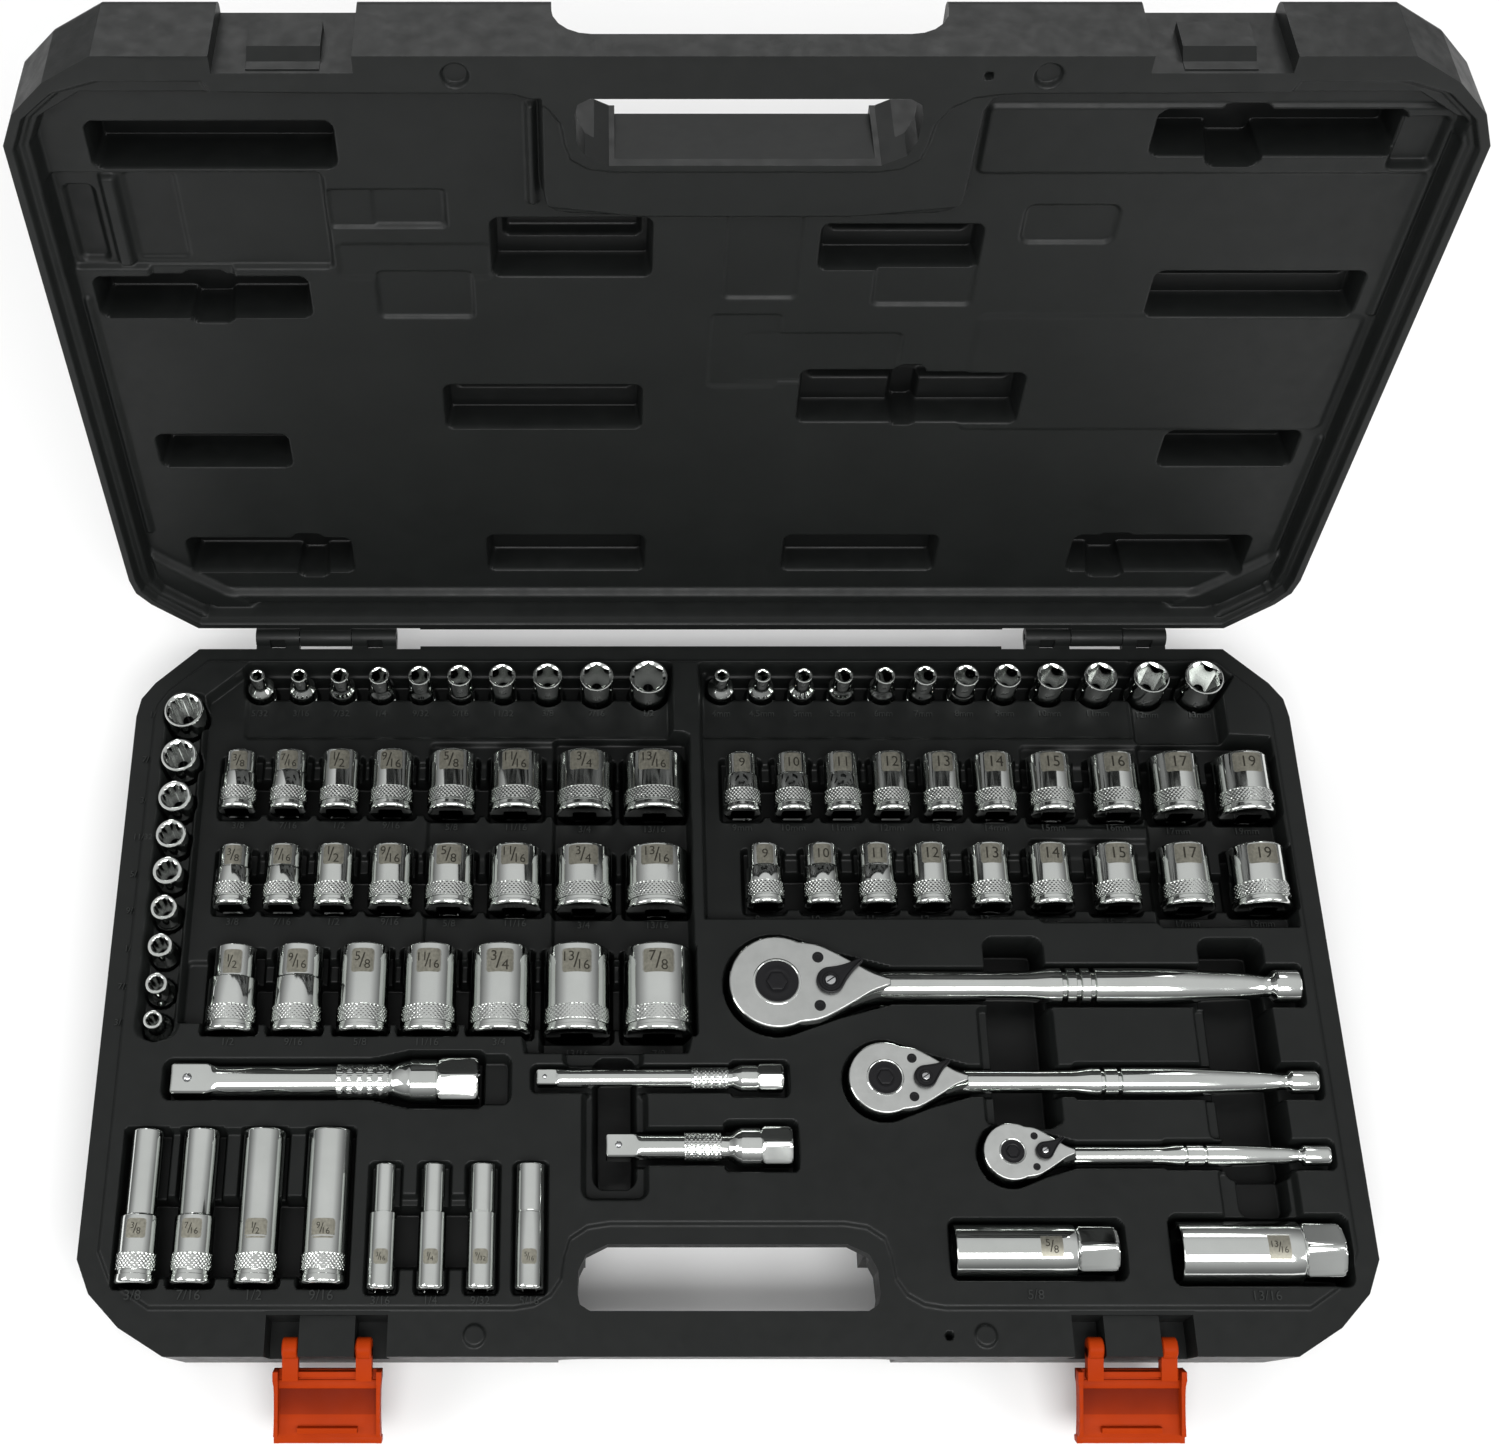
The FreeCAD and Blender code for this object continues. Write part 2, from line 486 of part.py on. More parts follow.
LD = MAIN["lid_depth"] + SEAM
ALPHA = 180.0 - MAIN["open_angle"]
LID = FreeCAD.Placement(V(0, HY, ZR), FreeCAD.Rotation(V(1, 0, 0), ALPHA))


def lid_pts(pts):
    return [(x, HY - y) for x, y in pts]


LID_HOLE = [(x, {-123.0: -121.0, -117.0: -114.6, -113.0: -110.3}.get(y, y)) for x, y in HOLE]


def lid_openings(tag, grow):
    zc = -MAIN["lid_bar_height"] - SEAM
    objs = [poly("lid_hole" + tag, lid_pts(inset(LID_HOLE, -grow) if grow else LID_HOLE), -LD - 2, 2),
            arch("over_bar" + tag, 68.0, -LD - 5, zc, 14.0, HY + 113 - grow, HY + 170, grow),
            slope("lid_hole_low" + tag, -46.0, 46.0, (HY + 110.3, -4.0), (HY + 106.3, -LD - 2), 14.0, -1, grow)]
    for s in (-1, 1):
        x0, x1 = sorted((s * (NOTCH[0] - grow), s * (NOTCH[1] + grow)))
        objs.append(box("catch_notch" + tag, x0, x1, HY + 149.6 - grow, HY + 170, -LD - 2, 2))
    return fuse("lid_openings" + tag, objs)


lid_block = bottom_fillet("lid_round", poly("lid_block", lid_pts(OUTLINE), -LD, -SEAM), -LD, 5.0)
lid_outer = cut("lid_outer", lid_block, lid_openings("", 0.0))
lid_cavity = cut("lid_cavity", poly("lid_inside", lid_pts(inset(OUTLINE, WALL)), -LD + WALL, 1), lid_openings("_wall", WALL))
lid_pan = cut("lid_pan", lid_outer, lid_cavity)
fittings, bores = [], []
for h in HINGES:
    fittings.append(cyl("lid_knuckle", "dims.knuckle_radius", h[3] - h[2], (h[2], 0, 0), TO_X))
    fittings.append(box("lid_knuckle_arm", h[2], h[3], 0, 7.4, -4.3, -0.5))
    bores.append(cyl("lid_pin_bore", "dims.hinge_pin_radius + dims.running_gap", 30, (h[2] - 3, 0, 0), TO_X))
fittings.append(box("lid_lip", -133, 133, 4.9, 7.4, -2.6, -0.6))
for s in (-1, 1):
    xc = s * LATCH_X
    catch = poly("catch_block", [(HY + 149.0, -23.7), (HY + 153.0, -23.7), (HY + 153.0, -10.5), (HY + 150.0, -6.2),
                                 (HY + 150.0, -2.0), (HY + 149.0, -2.0)], 0, 25.0)
    catch.Placement = FreeCAD.Placement(V(xc - 12.5, 0, 0), FreeCAD.Rotation(V(1, 1, 1), 120))
    fittings.append(catch)
node("lid_shell", cut("lid_shell", fuse("lid_solid", [lid_pan] + fittings), fuse("lid_bores", bores)), LID)

# deep recesses of the lid: x range, distance range from the hinge axis
LID_POCKETS = [(-232.9, -145.9, 262.2, 282.3), (144.7, 231.4, 269.1, 288.4), (-91.5, -31.9, 210.2, 238.1), (31.7, 91.2, 213.6, 235.1),
               (-243.9, -162.9, 188.8, 209.1), (160.3, 239.9, 189.8, 211.9), (-113.9, -34.3, 126.2, 150.7), (30.0, 119.5, 130.2, 158.1),
               (-235.0, -180.9, 102.4, 121.8), (184.1, 239.2, 103.0, 124.1), (-233.0, -161.2, 32.6, 55.4), (-100.3, -31.6, 34.0, 57.1),
               (30.7, 98.0, 34.0, 57.1), (158.3, 235.9, 33.3, 57.1)]
RECESS = PANEL[:7] + [(80.0, -138.0), (80.0, -93.0), (77.5, -86.8), (71.0, -84.3), (-63.0, -84.3), (-69.5, -86.8),
                      (-72.0, -93.0), (-72.0, -138.0)] + PANEL[23:]
P_LID = lid_pts(inset(RECESS, -0.8))
curve = inset(PANEL, -0.8)[8:22]
PLATEAU = lid_pts([(95.0, -78.0), (95.0, -138.6), (85.2, -138.6)] + curve + [(-85.2, -138.6), (-95.0, -138.6), (-95.0, -78.0)])
zt = -MAIN["lid_recess"] - SEAM
zp = -2.4
lin_in = [poly("lid_recess_space", P_LID, zt, 3), poly("lid_plateau_space", PLATEAU, zp, 4)]
lin_out = [poly("lid_recess_wall", inset(P_LID, -LIN), zt - LIN, -SEAM),
           poly("lid_plateau_wall", inset(PLATEAU, -LIN), zp - LIN, -SEAM)]
for i, (x0, x1, s0, s1) in enumerate(LID_POCKETS, 1):
    lin_in.append(box("lid_pocket_%d" % i, x0, x1, s0, s1, -MAIN["lid_pocket"] - SEAM, zt + 1))
    lin_out.append(box("lid_pocket_%d_wall" % i, x0 - LIN, x1 + LIN, s0 - LIN, s1 + LIN, -MAIN["lid_pocket"] - SEAM - LIN, zt - 0.5))
lid_land = common("lid_land", lid_cavity, box("lid_slab", -300, 300, 0, 330, -SEAM - LIN, -SEAM))
for s in (-1, 1):
    lin_in.append(cyl("closing_dimple", 5.0, 3, (s * 100.3, HY + 148.5, -2.2)))
lin_in.append(cyl("lid_blow_hole", 1.3, 8, (80.0, HY + 148.5, -6)))
lining = cut("lid_lining", fuse("lid_lining_solid", [lid_land] + lin_out), fuse("lid_lining_spaces", lin_in))
doc.recompute()
split(lining, {"lid_liner_hinge_left": (-300, 0.9, -20, 170.0), "lid_liner_hinge_right": (0.9, 300, -20, 170.0),
               "lid_liner_front_left": (-300, 0.9, 170.0, 400), "lid_liner_front_right": (0.9, 300, 170.0, 400)}, -LD - 5, 5, LID)
doc.recompute()

# ---------------------------------------------------------------- latches, drawn shut: +Z up the lid, -Y outwards


def latch(name, xc):
    hw = MAIN["latch_width"] / 2
    th = MAIN["latch_thick"]
    solids = [ebox(name + "_plate", "dims.latch_width", "dims.latch_thick", 25.5, (-hw, -1.5 - th, 9))]
    solids.append(box(name + "_lip", -hw, hw, -7.0, -1.5, 34.5, MAIN["latch_length"]))
    solids.append(box(name + "_hook", -12.0, 12.0, -1.6, 1.2, 31.0, 33.6))
    solids.append(box(name + "_bar", -17.8, 17.8, -1.6, 1.6, 9.0, 12.0))
    for s in (-1, 1):
        a, b = sorted((s * (hw - 2.2), s * hw))
        solids.append(box(name + "_flange", a, b, -1.6, 1.9, 9, 34.5))
        a, b = sorted((s * 11.4, s * 17.8))
        solids.append(cyl(name + "_eye", 4.2, b - a, (a, 0, 0), TO_X))
        solids.append(box(name + "_arm", a, b, -3.2, 1.9, 0, 10))
        a, b = sorted((s * 5.0, s * 12.0))
        solids.append(cyl(name + "_stub", "dims.latch_pivot_radius", b - a, (a, 0, 0), TO_X))
    o = fuse(name, solids)
    return node(name, o, FreeCAD.Placement(V(xc, PIVOT_Y, PIVOT_Z), FreeCAD.Rotation(V(1, 0, 0), MAIN["latch_open"])))


latch("latch_left", -LATCH_X)
latch("latch_right", LATCH_X)

# ---------------------------------------------------------------- ratchets


def revolved(name, profile, base):
    """A turned body along +X: a list of (x, radius) from end to end."""
    body = doc.addObject("PartDesign::Body", name)
    sk = body.newObject("Sketcher::SketchObject", name + "_profile")
    plane = [f for f in body.Origin.OriginFeatures if f.Role == "XZ_Plane"][0]
    sk.AttachmentSupport = [(plane, "")]
    sk.MapMode = "FlatFace"
    pts = [(profile[0][0], 0.0)] + list(profile) + [(profile[-1][0], 0.0)]
    n = len(pts)
    for i in range(n):
        a, b = pts[i], pts[(i + 1) % n]
        sk.addGeometry(Part.LineSegment(V(a[0], a[1], 0), V(b[0], b[1], 0)), False)
    for i in range(n):
        sk.addConstraint(Sketcher.Constraint("Coincident", i, 2, (i + 1) % n, 1))
    for i in range(n):
        for tag, v in (("X", pts[i][0]), ("Y", pts[i][1])):
            k = sk.addConstraint(Sketcher.Constraint("Distance" + tag, -1, 1, i, 1, v))
            sk.renameConstraint(k, "%s%d" % (tag.lower(), i))
    doc.recompute()
    rev = body.newObject("PartDesign::Revolution", name + "_turned")
    rev.Profile = sk
    rev.ReferenceAxis = (sk, ["H_Axis"])
    rev.Angle = 360.0
    body.Tip = rev
    body.Placement = FreeCAD.Placement(V(*base), FreeCAD.Rotation())
    return body, sk


def teardrop(name, R, vee, end_half, z0, z1):
    """Outline of a head: the round end at the drive, narrowing to the handle."""
    a0 = math.acos(max(-1.0, min(1.0, (R - end_half) / vee)))
    pts = []
    n = 40
    for i in range(n + 1):
        a = a0 + (2 * math.pi - 2 * a0) * i / n
        pts.append((R * math.cos(a), R * math.sin(a)))
    pts.append((vee, -end_half))
    pts.append((vee, end_half))
    wire = Part.makePolygon([V(x, y, z0) for x, y in pts] + [V(pts[0][0], pts[0][1], z0)])
    o = doc.addObject("Part::Feature", name)
    o.Shape = Part.Face(wire).extrude(V(0, 0, z1 - z0))
    return o


def gear_ring(name, r, teeth, depth, z0, z1):
    pts = []
    for i in range(teeth):
        for f, rr in ((-0.32, r - depth), (-0.08, r), (0.08, r), (0.32, r - depth)):
            a = 2 * math.pi * (i + f) / teeth
            pts.append(V(rr * math.cos(a), rr * math.sin(a), z0))
    o = doc.addObject("Part::Feature", name)
    o.Shape = Part.Face(Part.makePolygon(pts + [pts[0]])).extrude(V(0, 0, z1 - z0))
    return o


def lever_arm(name, hub, tip, width, z0, z1):
    pts = []
    for i in range(17):
        a = math.radians(75 + 210 * i / 16.0)
        pts.append((hub * math.cos(a), hub * math.sin(a)))
    for i in range(7):
        a = math.radians(-75 + 150 * i / 6.0)
        pts.append((tip - width + width * math.cos(a), width * math.sin(a)))
    wire = Part.makePolygon([V(x, y, z0) for x, y in pts] + [V(pts[0][0], pts[0][1], z0)])
    o = doc.addObject("Part::Feature", name)
    o.Shape = Part.Face(wire).extrude(V(0, 0, z1 - z0))
    return o


for k, q in RATCHETS.items():
    p = k + "_ratchet"
    R, T, cov = cell(p + "_head", q["R"]), cell(p + "_depth", q["T"]), cell(p + "_cover", q["cover"])
    disc, but = cell(p + "_disc", q["disc"]), cell(p + "_button", q["button"])
    hub, scr = cell(p + "_lever_hub", q["hub"]), cell(p + "_screw", q["sr"])
    doc.recompute()
    sq = MAIN[q["drive"]]
    r = q["R"]
    at = FreeCAD.Placement(V(q["x"], q["y"], ZR + q["flat"]), FreeCAD.Rotation())
    t, c = q["T"], q["cover"]
    lv = q["lever"]
    ls = q["hub"] * 0.62                       # lever spindle
    gr = lv - ls - 1.6 - 2.0                   # gear radius, clear of the pawl
    gr = min(gr, r - 3.2)
    paw = lv - gr - 0.5                        # pawl radius about the spindle
    # handle: shaft, neck rings, grip and end knob
    zc = -q["flat"]                            # handle axis below the head's top face
    low = min(q["shaft"] * 0.92, q["flat"] - c - 0.15)
    prof = [(q["vee"] - 8, low), (q["vee"] - 1, low), (q["vee"] + 5, q["shaft"] * 0.95), (q["rings"][0] - 9, q["shaft"]), (q["rings"][0] - 5, q["grip"] * 0.97)]
    for x in q["rings"]:
        prof += [(x - 1.4, q["grip"] * 0.97), (x - 0.9, q["grip"] * 0.84), (x + 0.9, q["grip"] * 0.84), (x + 1.4, q["grip"] * 0.97)]
    kx, kr = q["knob"]
    prof += [(q["rings"][-1] + 25, q["grip"]), (kx - 8, kr * 0.70), (kx - 2, kr * 0.78), (kx + 1, kr), (q["end"] - 0.8, kr), (q["end"], kr - 0.8)]
    handle, hsk = revolved(p + "_handle", prof, (0, 0, zc))
    solids = [teardrop(p + "_head_block", r, q["vee"], q["shaft"] * 0.9, -t, -c), handle]
    spaces = [cyl(p + "_gear_space", gr + 0.5, t - c - 3.0, (0, 0, -t + 3.0)),
              cyl(p + "_journal_space", sq * 0.74 + 0.05, t, (0, 0, -t - 1)),
              cyl(p + "_pawl_space", paw + 0.4, t - c - 5.0, (lv, 0, -t + 5.0)),
              cyl(p + "_spindle_space", ls + 0.05, t - c - 3.0, (lv, 0, -t + 3.0))]
    for s in (-1, 1):
        spaces.append(cyl(p + "_screw_space", scr + "*0.6 + 0.02", 9, (q["screw"][0], s * q["screw"][1], -c - 8)))
    node(p + "_body", cut(p + "_body", fuse(p + "_forging", solids), fuse(p + "_spaces", spaces)), at)
    plate = teardrop(p + "_plate", r - 0.4, q["vee"] - 1.5, q["shaft"] * 0.55, -c, 0.0)
    holes = [cyl(p + "_disc_hole", disc + " + 0.05", c + 2, (0, 0, -c - 1)), cyl(p + "_spindle_hole", ls + 0.05, c + 2, (lv, 0, -c - 1))]
    for s in (-1, 1):
        holes.append(cyl(p + "_screw_hole", scr + " + 0.02", c + 2, (q["screw"][0], s * q["screw"][1], -c - 1)))
    node(p + "_cover", cut(p + "_cover", plate, fuse(p + "_holes", holes)), at)
    drv = [gear_ring(p + "_teeth", gr, 36, gr * 0.07, -t + 3.3, -c - 0.3),
           cyl(p + "_disc_top", disc, c + 0.7, (0, 0, -c - 0.4)),
           cyl(p + "_journal", sq * 0.74, 4.4, (0, 0, -t - 0.6)),
           ebox(p + "_square_drive", "dims." + q["drive"], "dims." + q["drive"], q["square"], (-sq / 2, -sq / 2, -t - q["square"]))]
    rb = sq * 0.17
    spc = [cyl(p + "_button_bore", but + " + 0.05", t - c + 2, (0, 0, -t + 5)),
           cyl(p + "_ball_bore", rb + 0.03, sq * 0.5, (-sq / 2 - 1, 0, -t - q["square"] * 0.55), TO_X)]
    node(p + "_drive", cut(p + "_drive", fuse(p + "_drive_solid", drv), fuse(p + "_drive_spaces", spc)), at)
    node(p + "_ball", ball(p + "_ball", rb, (0, 0, 0)),
         FreeCAD.Placement(V(q["x"] - sq / 2 + rb * 0.45, q["y"], ZR + q["flat"] - t - q["square"] * 0.55), FreeCAD.Rotation()))
    node(p + "_button", prism(p + "_button", 6, but, t - c - 5.5 + 1.7), FreeCAD.Placement(V(q["x"], q["y"], ZR + q["flat"] - t + 7.3), FreeCAD.Rotation()))
    lever = fuse(p + "_lever", [lever_arm(p + "_lever_arm", q["hub"], q["tip"], q["hub"] * 0.32, 0.25, 2.6),
                                cyl(p + "_spindle", ls, t - 4.0, (0, 0, -t + 4.0 + 0.6))])
    spin = FreeCAD.Rotation(V(0, 0, 1), 30)
    node(p + "_lever", lever, FreeCAD.Placement(V(q["x"] + lv, q["y"], ZR + q["flat"]), spin))
    ring = cut(p + "_pawl_ring", cyl(p + "_pawl_round", paw, 5.0), cyl(p + "_pawl_bore", ls, 7.0, (0, 0, -1)))
    ring2 = common(p + "_pawl", ring, box(p + "_pawl_side", -30, ls * 0.35, -30, 30, -2, 8))
    node(p + "_pawl", ring2, FreeCAD.Placement(V(q["x"] + lv, q["y"], ZR + q["flat"] - t + 5.5), spin))
    scs = []
    for s in (-1, 1):
        scs.append(fuse(p + "_screw_%s" % ("a" if s < 0 else "b"),
                        [cyl(p + "_screw_head", scr, c - 0.2, (q["x"] + q["screw"][0], q["y"] + s * q["screw"][1], ZR + q["flat"] - c)),
                         cyl(p + "_screw_shank", scr + "*0.6", 7.0, (q["x"] + q["screw"][0], q["y"] + s * q["screw"][1], ZR + q["flat"] - c - 6.9))]))
    group(p + "_screws", scs)
doc.recompute()

# ---------------------------------------------------------------- extension bars


def extension(name, e, drive, shaft, knurl, head, neck, head_len, kn):
    sq = MAIN[drive]
    ln = e["x1"] - e["x0"]
    hd = cell(name + "_head", head)
    prof = [(sq * 1.25, sq * 0.5), (sq * 1.55, shaft), (kn[0], shaft), (kn[0] + 0.1, knurl), (kn[1], knurl), (kn[1] + 0.1, shaft),
            (ln - head_len - neck, shaft), (ln - head_len, head * 0.9), (ln - head_len + head_len * 0.4 + 0.5, head * 0.9)]
    turned, sk = revolved(name + "_turned", prof, (0, 0, 0))
    doc.recompute()
    sk.setExpression("Constraints.y%d" % (len(prof) - 1), hd + "*0.9")
    hexagon = prism(name + "_hexagon", 6, hd, head_len * 0.6, (ln - head_len * 0.6, 0, 0), TO_X)
    sqr = ebox(name + "_square", sq * 1.7, "dims." + drive, "dims." + drive, (0, -sq / 2, -sq / 2))
    rb = sq * 0.17
    spaces = [ebox(name + "_socket", sq * 1.3 + 1, "dims.%s + 0.2" % drive, "dims.%s + 0.2" % drive, (ln - sq * 1.3, -sq / 2 - 0.1, -sq / 2 - 0.1)),
              cyl(name + "_ball_bore", rb + 0.03, sq * 0.5, (sq * 0.55, 0, sq * 0.1))]
    at = FreeCAD.Placement(V(e["x0"], e["y"], e["z"]), FreeCAD.Rotation())
    node(name, cut(name, fuse(name + "_solid", [turned, sqr, hexagon]), fuse(name + "_spaces", spaces)), at)
    node(name + "_ball", ball(name + "_ball", rb, (0, 0, 0)), FreeCAD.Placement(V(e["x0"] + sq * 0.55, e["y"], e["z"] + sq / 2 - rb * 0.45), FreeCAD.Rotation()))


extension("long_extension", EXT_HALF, "half_drive", 6.6, 7.3, 10.3, 8.0, 28.0, (68.5, 90.0))
extension("mid_extension", EXT_MID, "three_eighths_drive", 5.2, 6.1, 9.0, 5.0, 21.0, (32.0, 47.0))
extension("small_extension", EXT_QUARTER, "quarter_drive", 3.9, 4.6, 6.2, 3.5, 17.5, (64.0, 79.0))

# ---------------------------------------------------------------- spark plug sockets, open end to -X, hexagon end to +X


def plug_socket(name, x0, x1, y, od, af, hexaf):
    d, a = cell(name + "_od", od), cell(name + "_af", af)
    ln = x1 - x0
    hl = 16.5
    solids = [cyl(name + "_tube", d + "/2", ln - hl + 0.5, (hl - 0.5, 0, 0), TO_X),
              prism(name + "_hexagon", 6, hexaf * HEX_R, hl, (0, 0, 0), TO_X)]
    sq = MAIN["half_drive"] if od > 23 else MAIN["three_eighths_drive"]
    tools = [prism(name + "_mouth", 6, "%s*%.6f" % (a, HEX_R), 19.0, (ln - 18, 0, 0), TO_X),
             cyl(name + "_bore", a + "/2", ln - 18 - hl - 3, (hl + 3.5, 0, 0), TO_X),
             ebox(name + "_square", sq * 1.3 + 10, sq, sq, (-1, -sq / 2, -sq / 2))]
    o = cut(name, fuse(name + "_solid", solids), fuse(name + "_openings", tools))
    z = ZR + CREST - od / 2
    turn = FreeCAD.Rotation(V(0, 0, 1), 180)
    node(name, o, FreeCAD.Placement(V(x1, y, z), turn))
    ring = cut(name + "_grip", cyl(name + "_grip_ring", a + "/2 - 0.05", 14.0), cyl(name + "_grip_bore", af * 0.5 - 2.6, 16, (0, 0, -1)))
    node(name + "_grip", ring, FreeCAD.Placement(V(x0 + 36.0, y, z), TO_MX))


plug_socket("plug_socket_small", 90.3, 155.3, -115.3, 21.0, 15.88, 17.9)
plug_socket("plug_socket_large", 180.1, 245.4, -115.6, 24.8, 20.64, 21.5)

# ---------------------------------------------------------------- checks and output

doc.recompute()
bad = [o.Name for o in doc.Objects if "Invalid" in o.State or "Error" in o.State]
if bad:
    raise RuntimeError("failed features: %s" % bad[:20])
for n, o in parts.items():
    s = o.Shape
    if s.isNull() or not s.isValid() or not s.Solids:
        raise RuntimeError("bad shape in %s" % n)
os.makedirs("parts", exist_ok=True)
for n, o in parts.items():
    o.Shape.exportStep("parts/%s.step" % n)
for n, o in parts.items():
    print("%-28s solids %2d volume %10.1f" % (n, len(o.Shape.Solids), o.Shape.Volume))
print("nodes", len(parts))
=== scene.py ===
import math
import bmesh
import bpy
import numpy as np
from mathutils import Matrix, Vector


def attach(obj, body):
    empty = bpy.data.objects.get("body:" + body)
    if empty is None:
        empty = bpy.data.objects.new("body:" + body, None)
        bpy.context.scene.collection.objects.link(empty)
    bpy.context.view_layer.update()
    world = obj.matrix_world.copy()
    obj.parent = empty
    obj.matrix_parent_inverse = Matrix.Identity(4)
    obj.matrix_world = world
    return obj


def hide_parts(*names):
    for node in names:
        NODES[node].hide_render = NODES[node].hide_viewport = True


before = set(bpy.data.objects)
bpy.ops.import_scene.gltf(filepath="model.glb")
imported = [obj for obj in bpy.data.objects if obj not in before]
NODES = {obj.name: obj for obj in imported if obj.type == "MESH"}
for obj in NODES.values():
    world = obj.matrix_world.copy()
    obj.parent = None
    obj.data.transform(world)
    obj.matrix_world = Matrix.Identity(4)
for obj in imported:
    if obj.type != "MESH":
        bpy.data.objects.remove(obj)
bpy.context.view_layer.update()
MM = 0.001
ZR = 46.0            # rim plane of the base above its underside
HY = 162.7           # hinge axis behind the centre
ALPHA = math.radians(180.0 - 98.96)
CREST = 8.0          # every tool's top above the rim plane

# ------------------------------------------------------------------ materials


def nodes_of(name):
    m = bpy.data.materials.new(name)
    m.use_nodes = True
    t = m.node_tree
    b = next(n for n in t.nodes if n.type == "BSDF_PRINCIPLED")
    return m, t, b


def node(t, kind, **props):
    n = t.nodes.new(kind)
    for k, v in props.items():
        setattr(n, k, v)
    return n


def noise(t, scale, detail=4.0, rough=0.55, src=None, stretch=None):
    co = src or node(t, "ShaderNodeTexCoord").outputs["Object"]
    if stretch:
        mp = node(t, "ShaderNodeMapping")
        mp.inputs["Scale"].default_value = stretch
        t.links.new(co, mp.inputs["Vector"])
        co = mp.outputs["Vector"]
    n = node(t, "ShaderNodeTexNoise")
    n.inputs["Scale"].default_value = scale
    n.inputs["Detail"].default_value = detail
    n.inputs["Roughness"].default_value = rough
    t.links.new(co, n.inputs["Vector"])
    return n.outputs["Fac"]


def ramp(t, fac, stops):
    r = node(t, "ShaderNodeValToRGB")
    e = r.color_ramp.elements
    while len(e) > 1:
        e.remove(e[-1])
    e[0].position, e[0].color = stops[0][0], (*stops[0][1], 1.0)
    for p, c in stops[1:]:
        x = e.new(p)
        x.color = (*c, 1.0)
    t.links.new(fac, r.inputs["Fac"])
    return r.outputs["Color"]


def span(t, fac, lo, hi):
    r = node(t, "ShaderNodeMapRange")
    r.inputs["From Min"].default_value = 0.3
    r.inputs["From Max"].default_value = 0.7
    r.inputs["To Min"].default_value = lo
    r.inputs["To Max"].default_value = hi
    t.links.new(fac, r.inputs["Value"])
    return r.outputs["Result"]


def bump(t, b, fac, strength, dist):
    n = node(t, "ShaderNodeBump")
    n.inputs["Strength"].default_value = strength
    n.inputs["Distance"].default_value = dist
    t.links.new(fac, n.inputs["Height"])
    t.links.new(n.outputs["Normal"], b.inputs["Normal"])


def grey(v, tint=(1.0, 1.0, 1.0)):
    return tuple(v * c for c in tint)


def plastic(name, dark, light, r0, r1, grain=2200.0, strength=0.25, spec=0.45, shade=None):
    m, t, b = nodes_of(name)
    big = noise(t, 34.0, 5.0, 0.65)
    col = ramp(t, big, [(0.22, dark), (0.80, light)])
    # shade: a painted shade colour, mixed into the base colour by the per-vertex painted shade strength
    if shade:
        ah = node(t, "ShaderNodeAttribute", attribute_name="painted_shade")
        mh = node(t, "ShaderNodeMix", data_type="RGBA")
        t.links.new(ah.outputs["Fac"], mh.inputs["Factor"])
        t.links.new(col, mh.inputs["A"])
        t.links.new(ramp(t, big, [(0.30, shade), (0.72, grey(1.25, shade))]), mh.inputs["B"])
        col = mh.outputs["Result"]
    t.links.new(col, b.inputs["Base Color"])
    t.links.new(span(t, noise(t, 150.0, 5.0, 0.6), r0, r1), b.inputs["Roughness"])
    b.inputs["Specular IOR Level"].default_value = spec
    bump(t, b, noise(t, grain, 3.0, 0.6), strength, 0.00012)
    return m


def metal(name, dark, light, r0, r1, scale=40.0, etched=False, stretch=None, wave=0.0):
    m, t, b = nodes_of(name)
    b.inputs["Metallic"].default_value = 1.0
    n = noise(t, scale, 5.0, 0.55, stretch=stretch)
    col = ramp(t, n, [(0.30, dark), (0.70, light)])
    rgh = span(t, noise(t, scale * 3.0, 4.0, 0.6, stretch=stretch), r0, r1)
    if etched:
        at = node(t, "ShaderNodeAttribute", attribute_name="etch")
        fine = noise(t, 900.0, 3.0, 0.6)
        mx = node(t, "ShaderNodeMix", data_type="RGBA")
        t.links.new(at.outputs["Fac"], mx.inputs["Factor"])
        t.links.new(col, mx.inputs["A"])
        t.links.new(ramp(t, fine, [(0.30, (0.235, 0.228, 0.190)), (0.70, (0.345, 0.335, 0.280))]), mx.inputs["B"])
        col = mx.outputs["Result"]
        mr = node(t, "ShaderNodeMix", data_type="FLOAT")
        t.links.new(at.outputs["Fac"], mr.inputs["Factor"])
        t.links.new(rgh, mr.inputs["A"])
        t.links.new(span(t, fine, 0.42, 0.58), mr.inputs["B"])
        rgh = mr.outputs["Result"]
    # painted shade: socket openings and drive ends darken to near black by the per-vertex painted shade strength
    if etched:
        ah = node(t, "ShaderNodeAttribute", attribute_name="painted_shade")
        mh = node(t, "ShaderNodeMix", data_type="RGBA")
        t.links.new(ah.outputs["Fac"], mh.inputs["Factor"])
        t.links.new(col, mh.inputs["A"])
        t.links.new(ramp(t, fine, [(0.30, (0.012, 0.012, 0.012)), (0.70, (0.022, 0.022, 0.022))]), mh.inputs["B"])
        col = mh.outputs["Result"]
    t.links.new(col, b.inputs["Base Color"])
    t.links.new(rgh, b.inputs["Roughness"])
    if wave:
        bump(t, b, noise(t, scale * 1.5, 2.0, 0.5, stretch=stretch), wave, 0.0002)
    return m
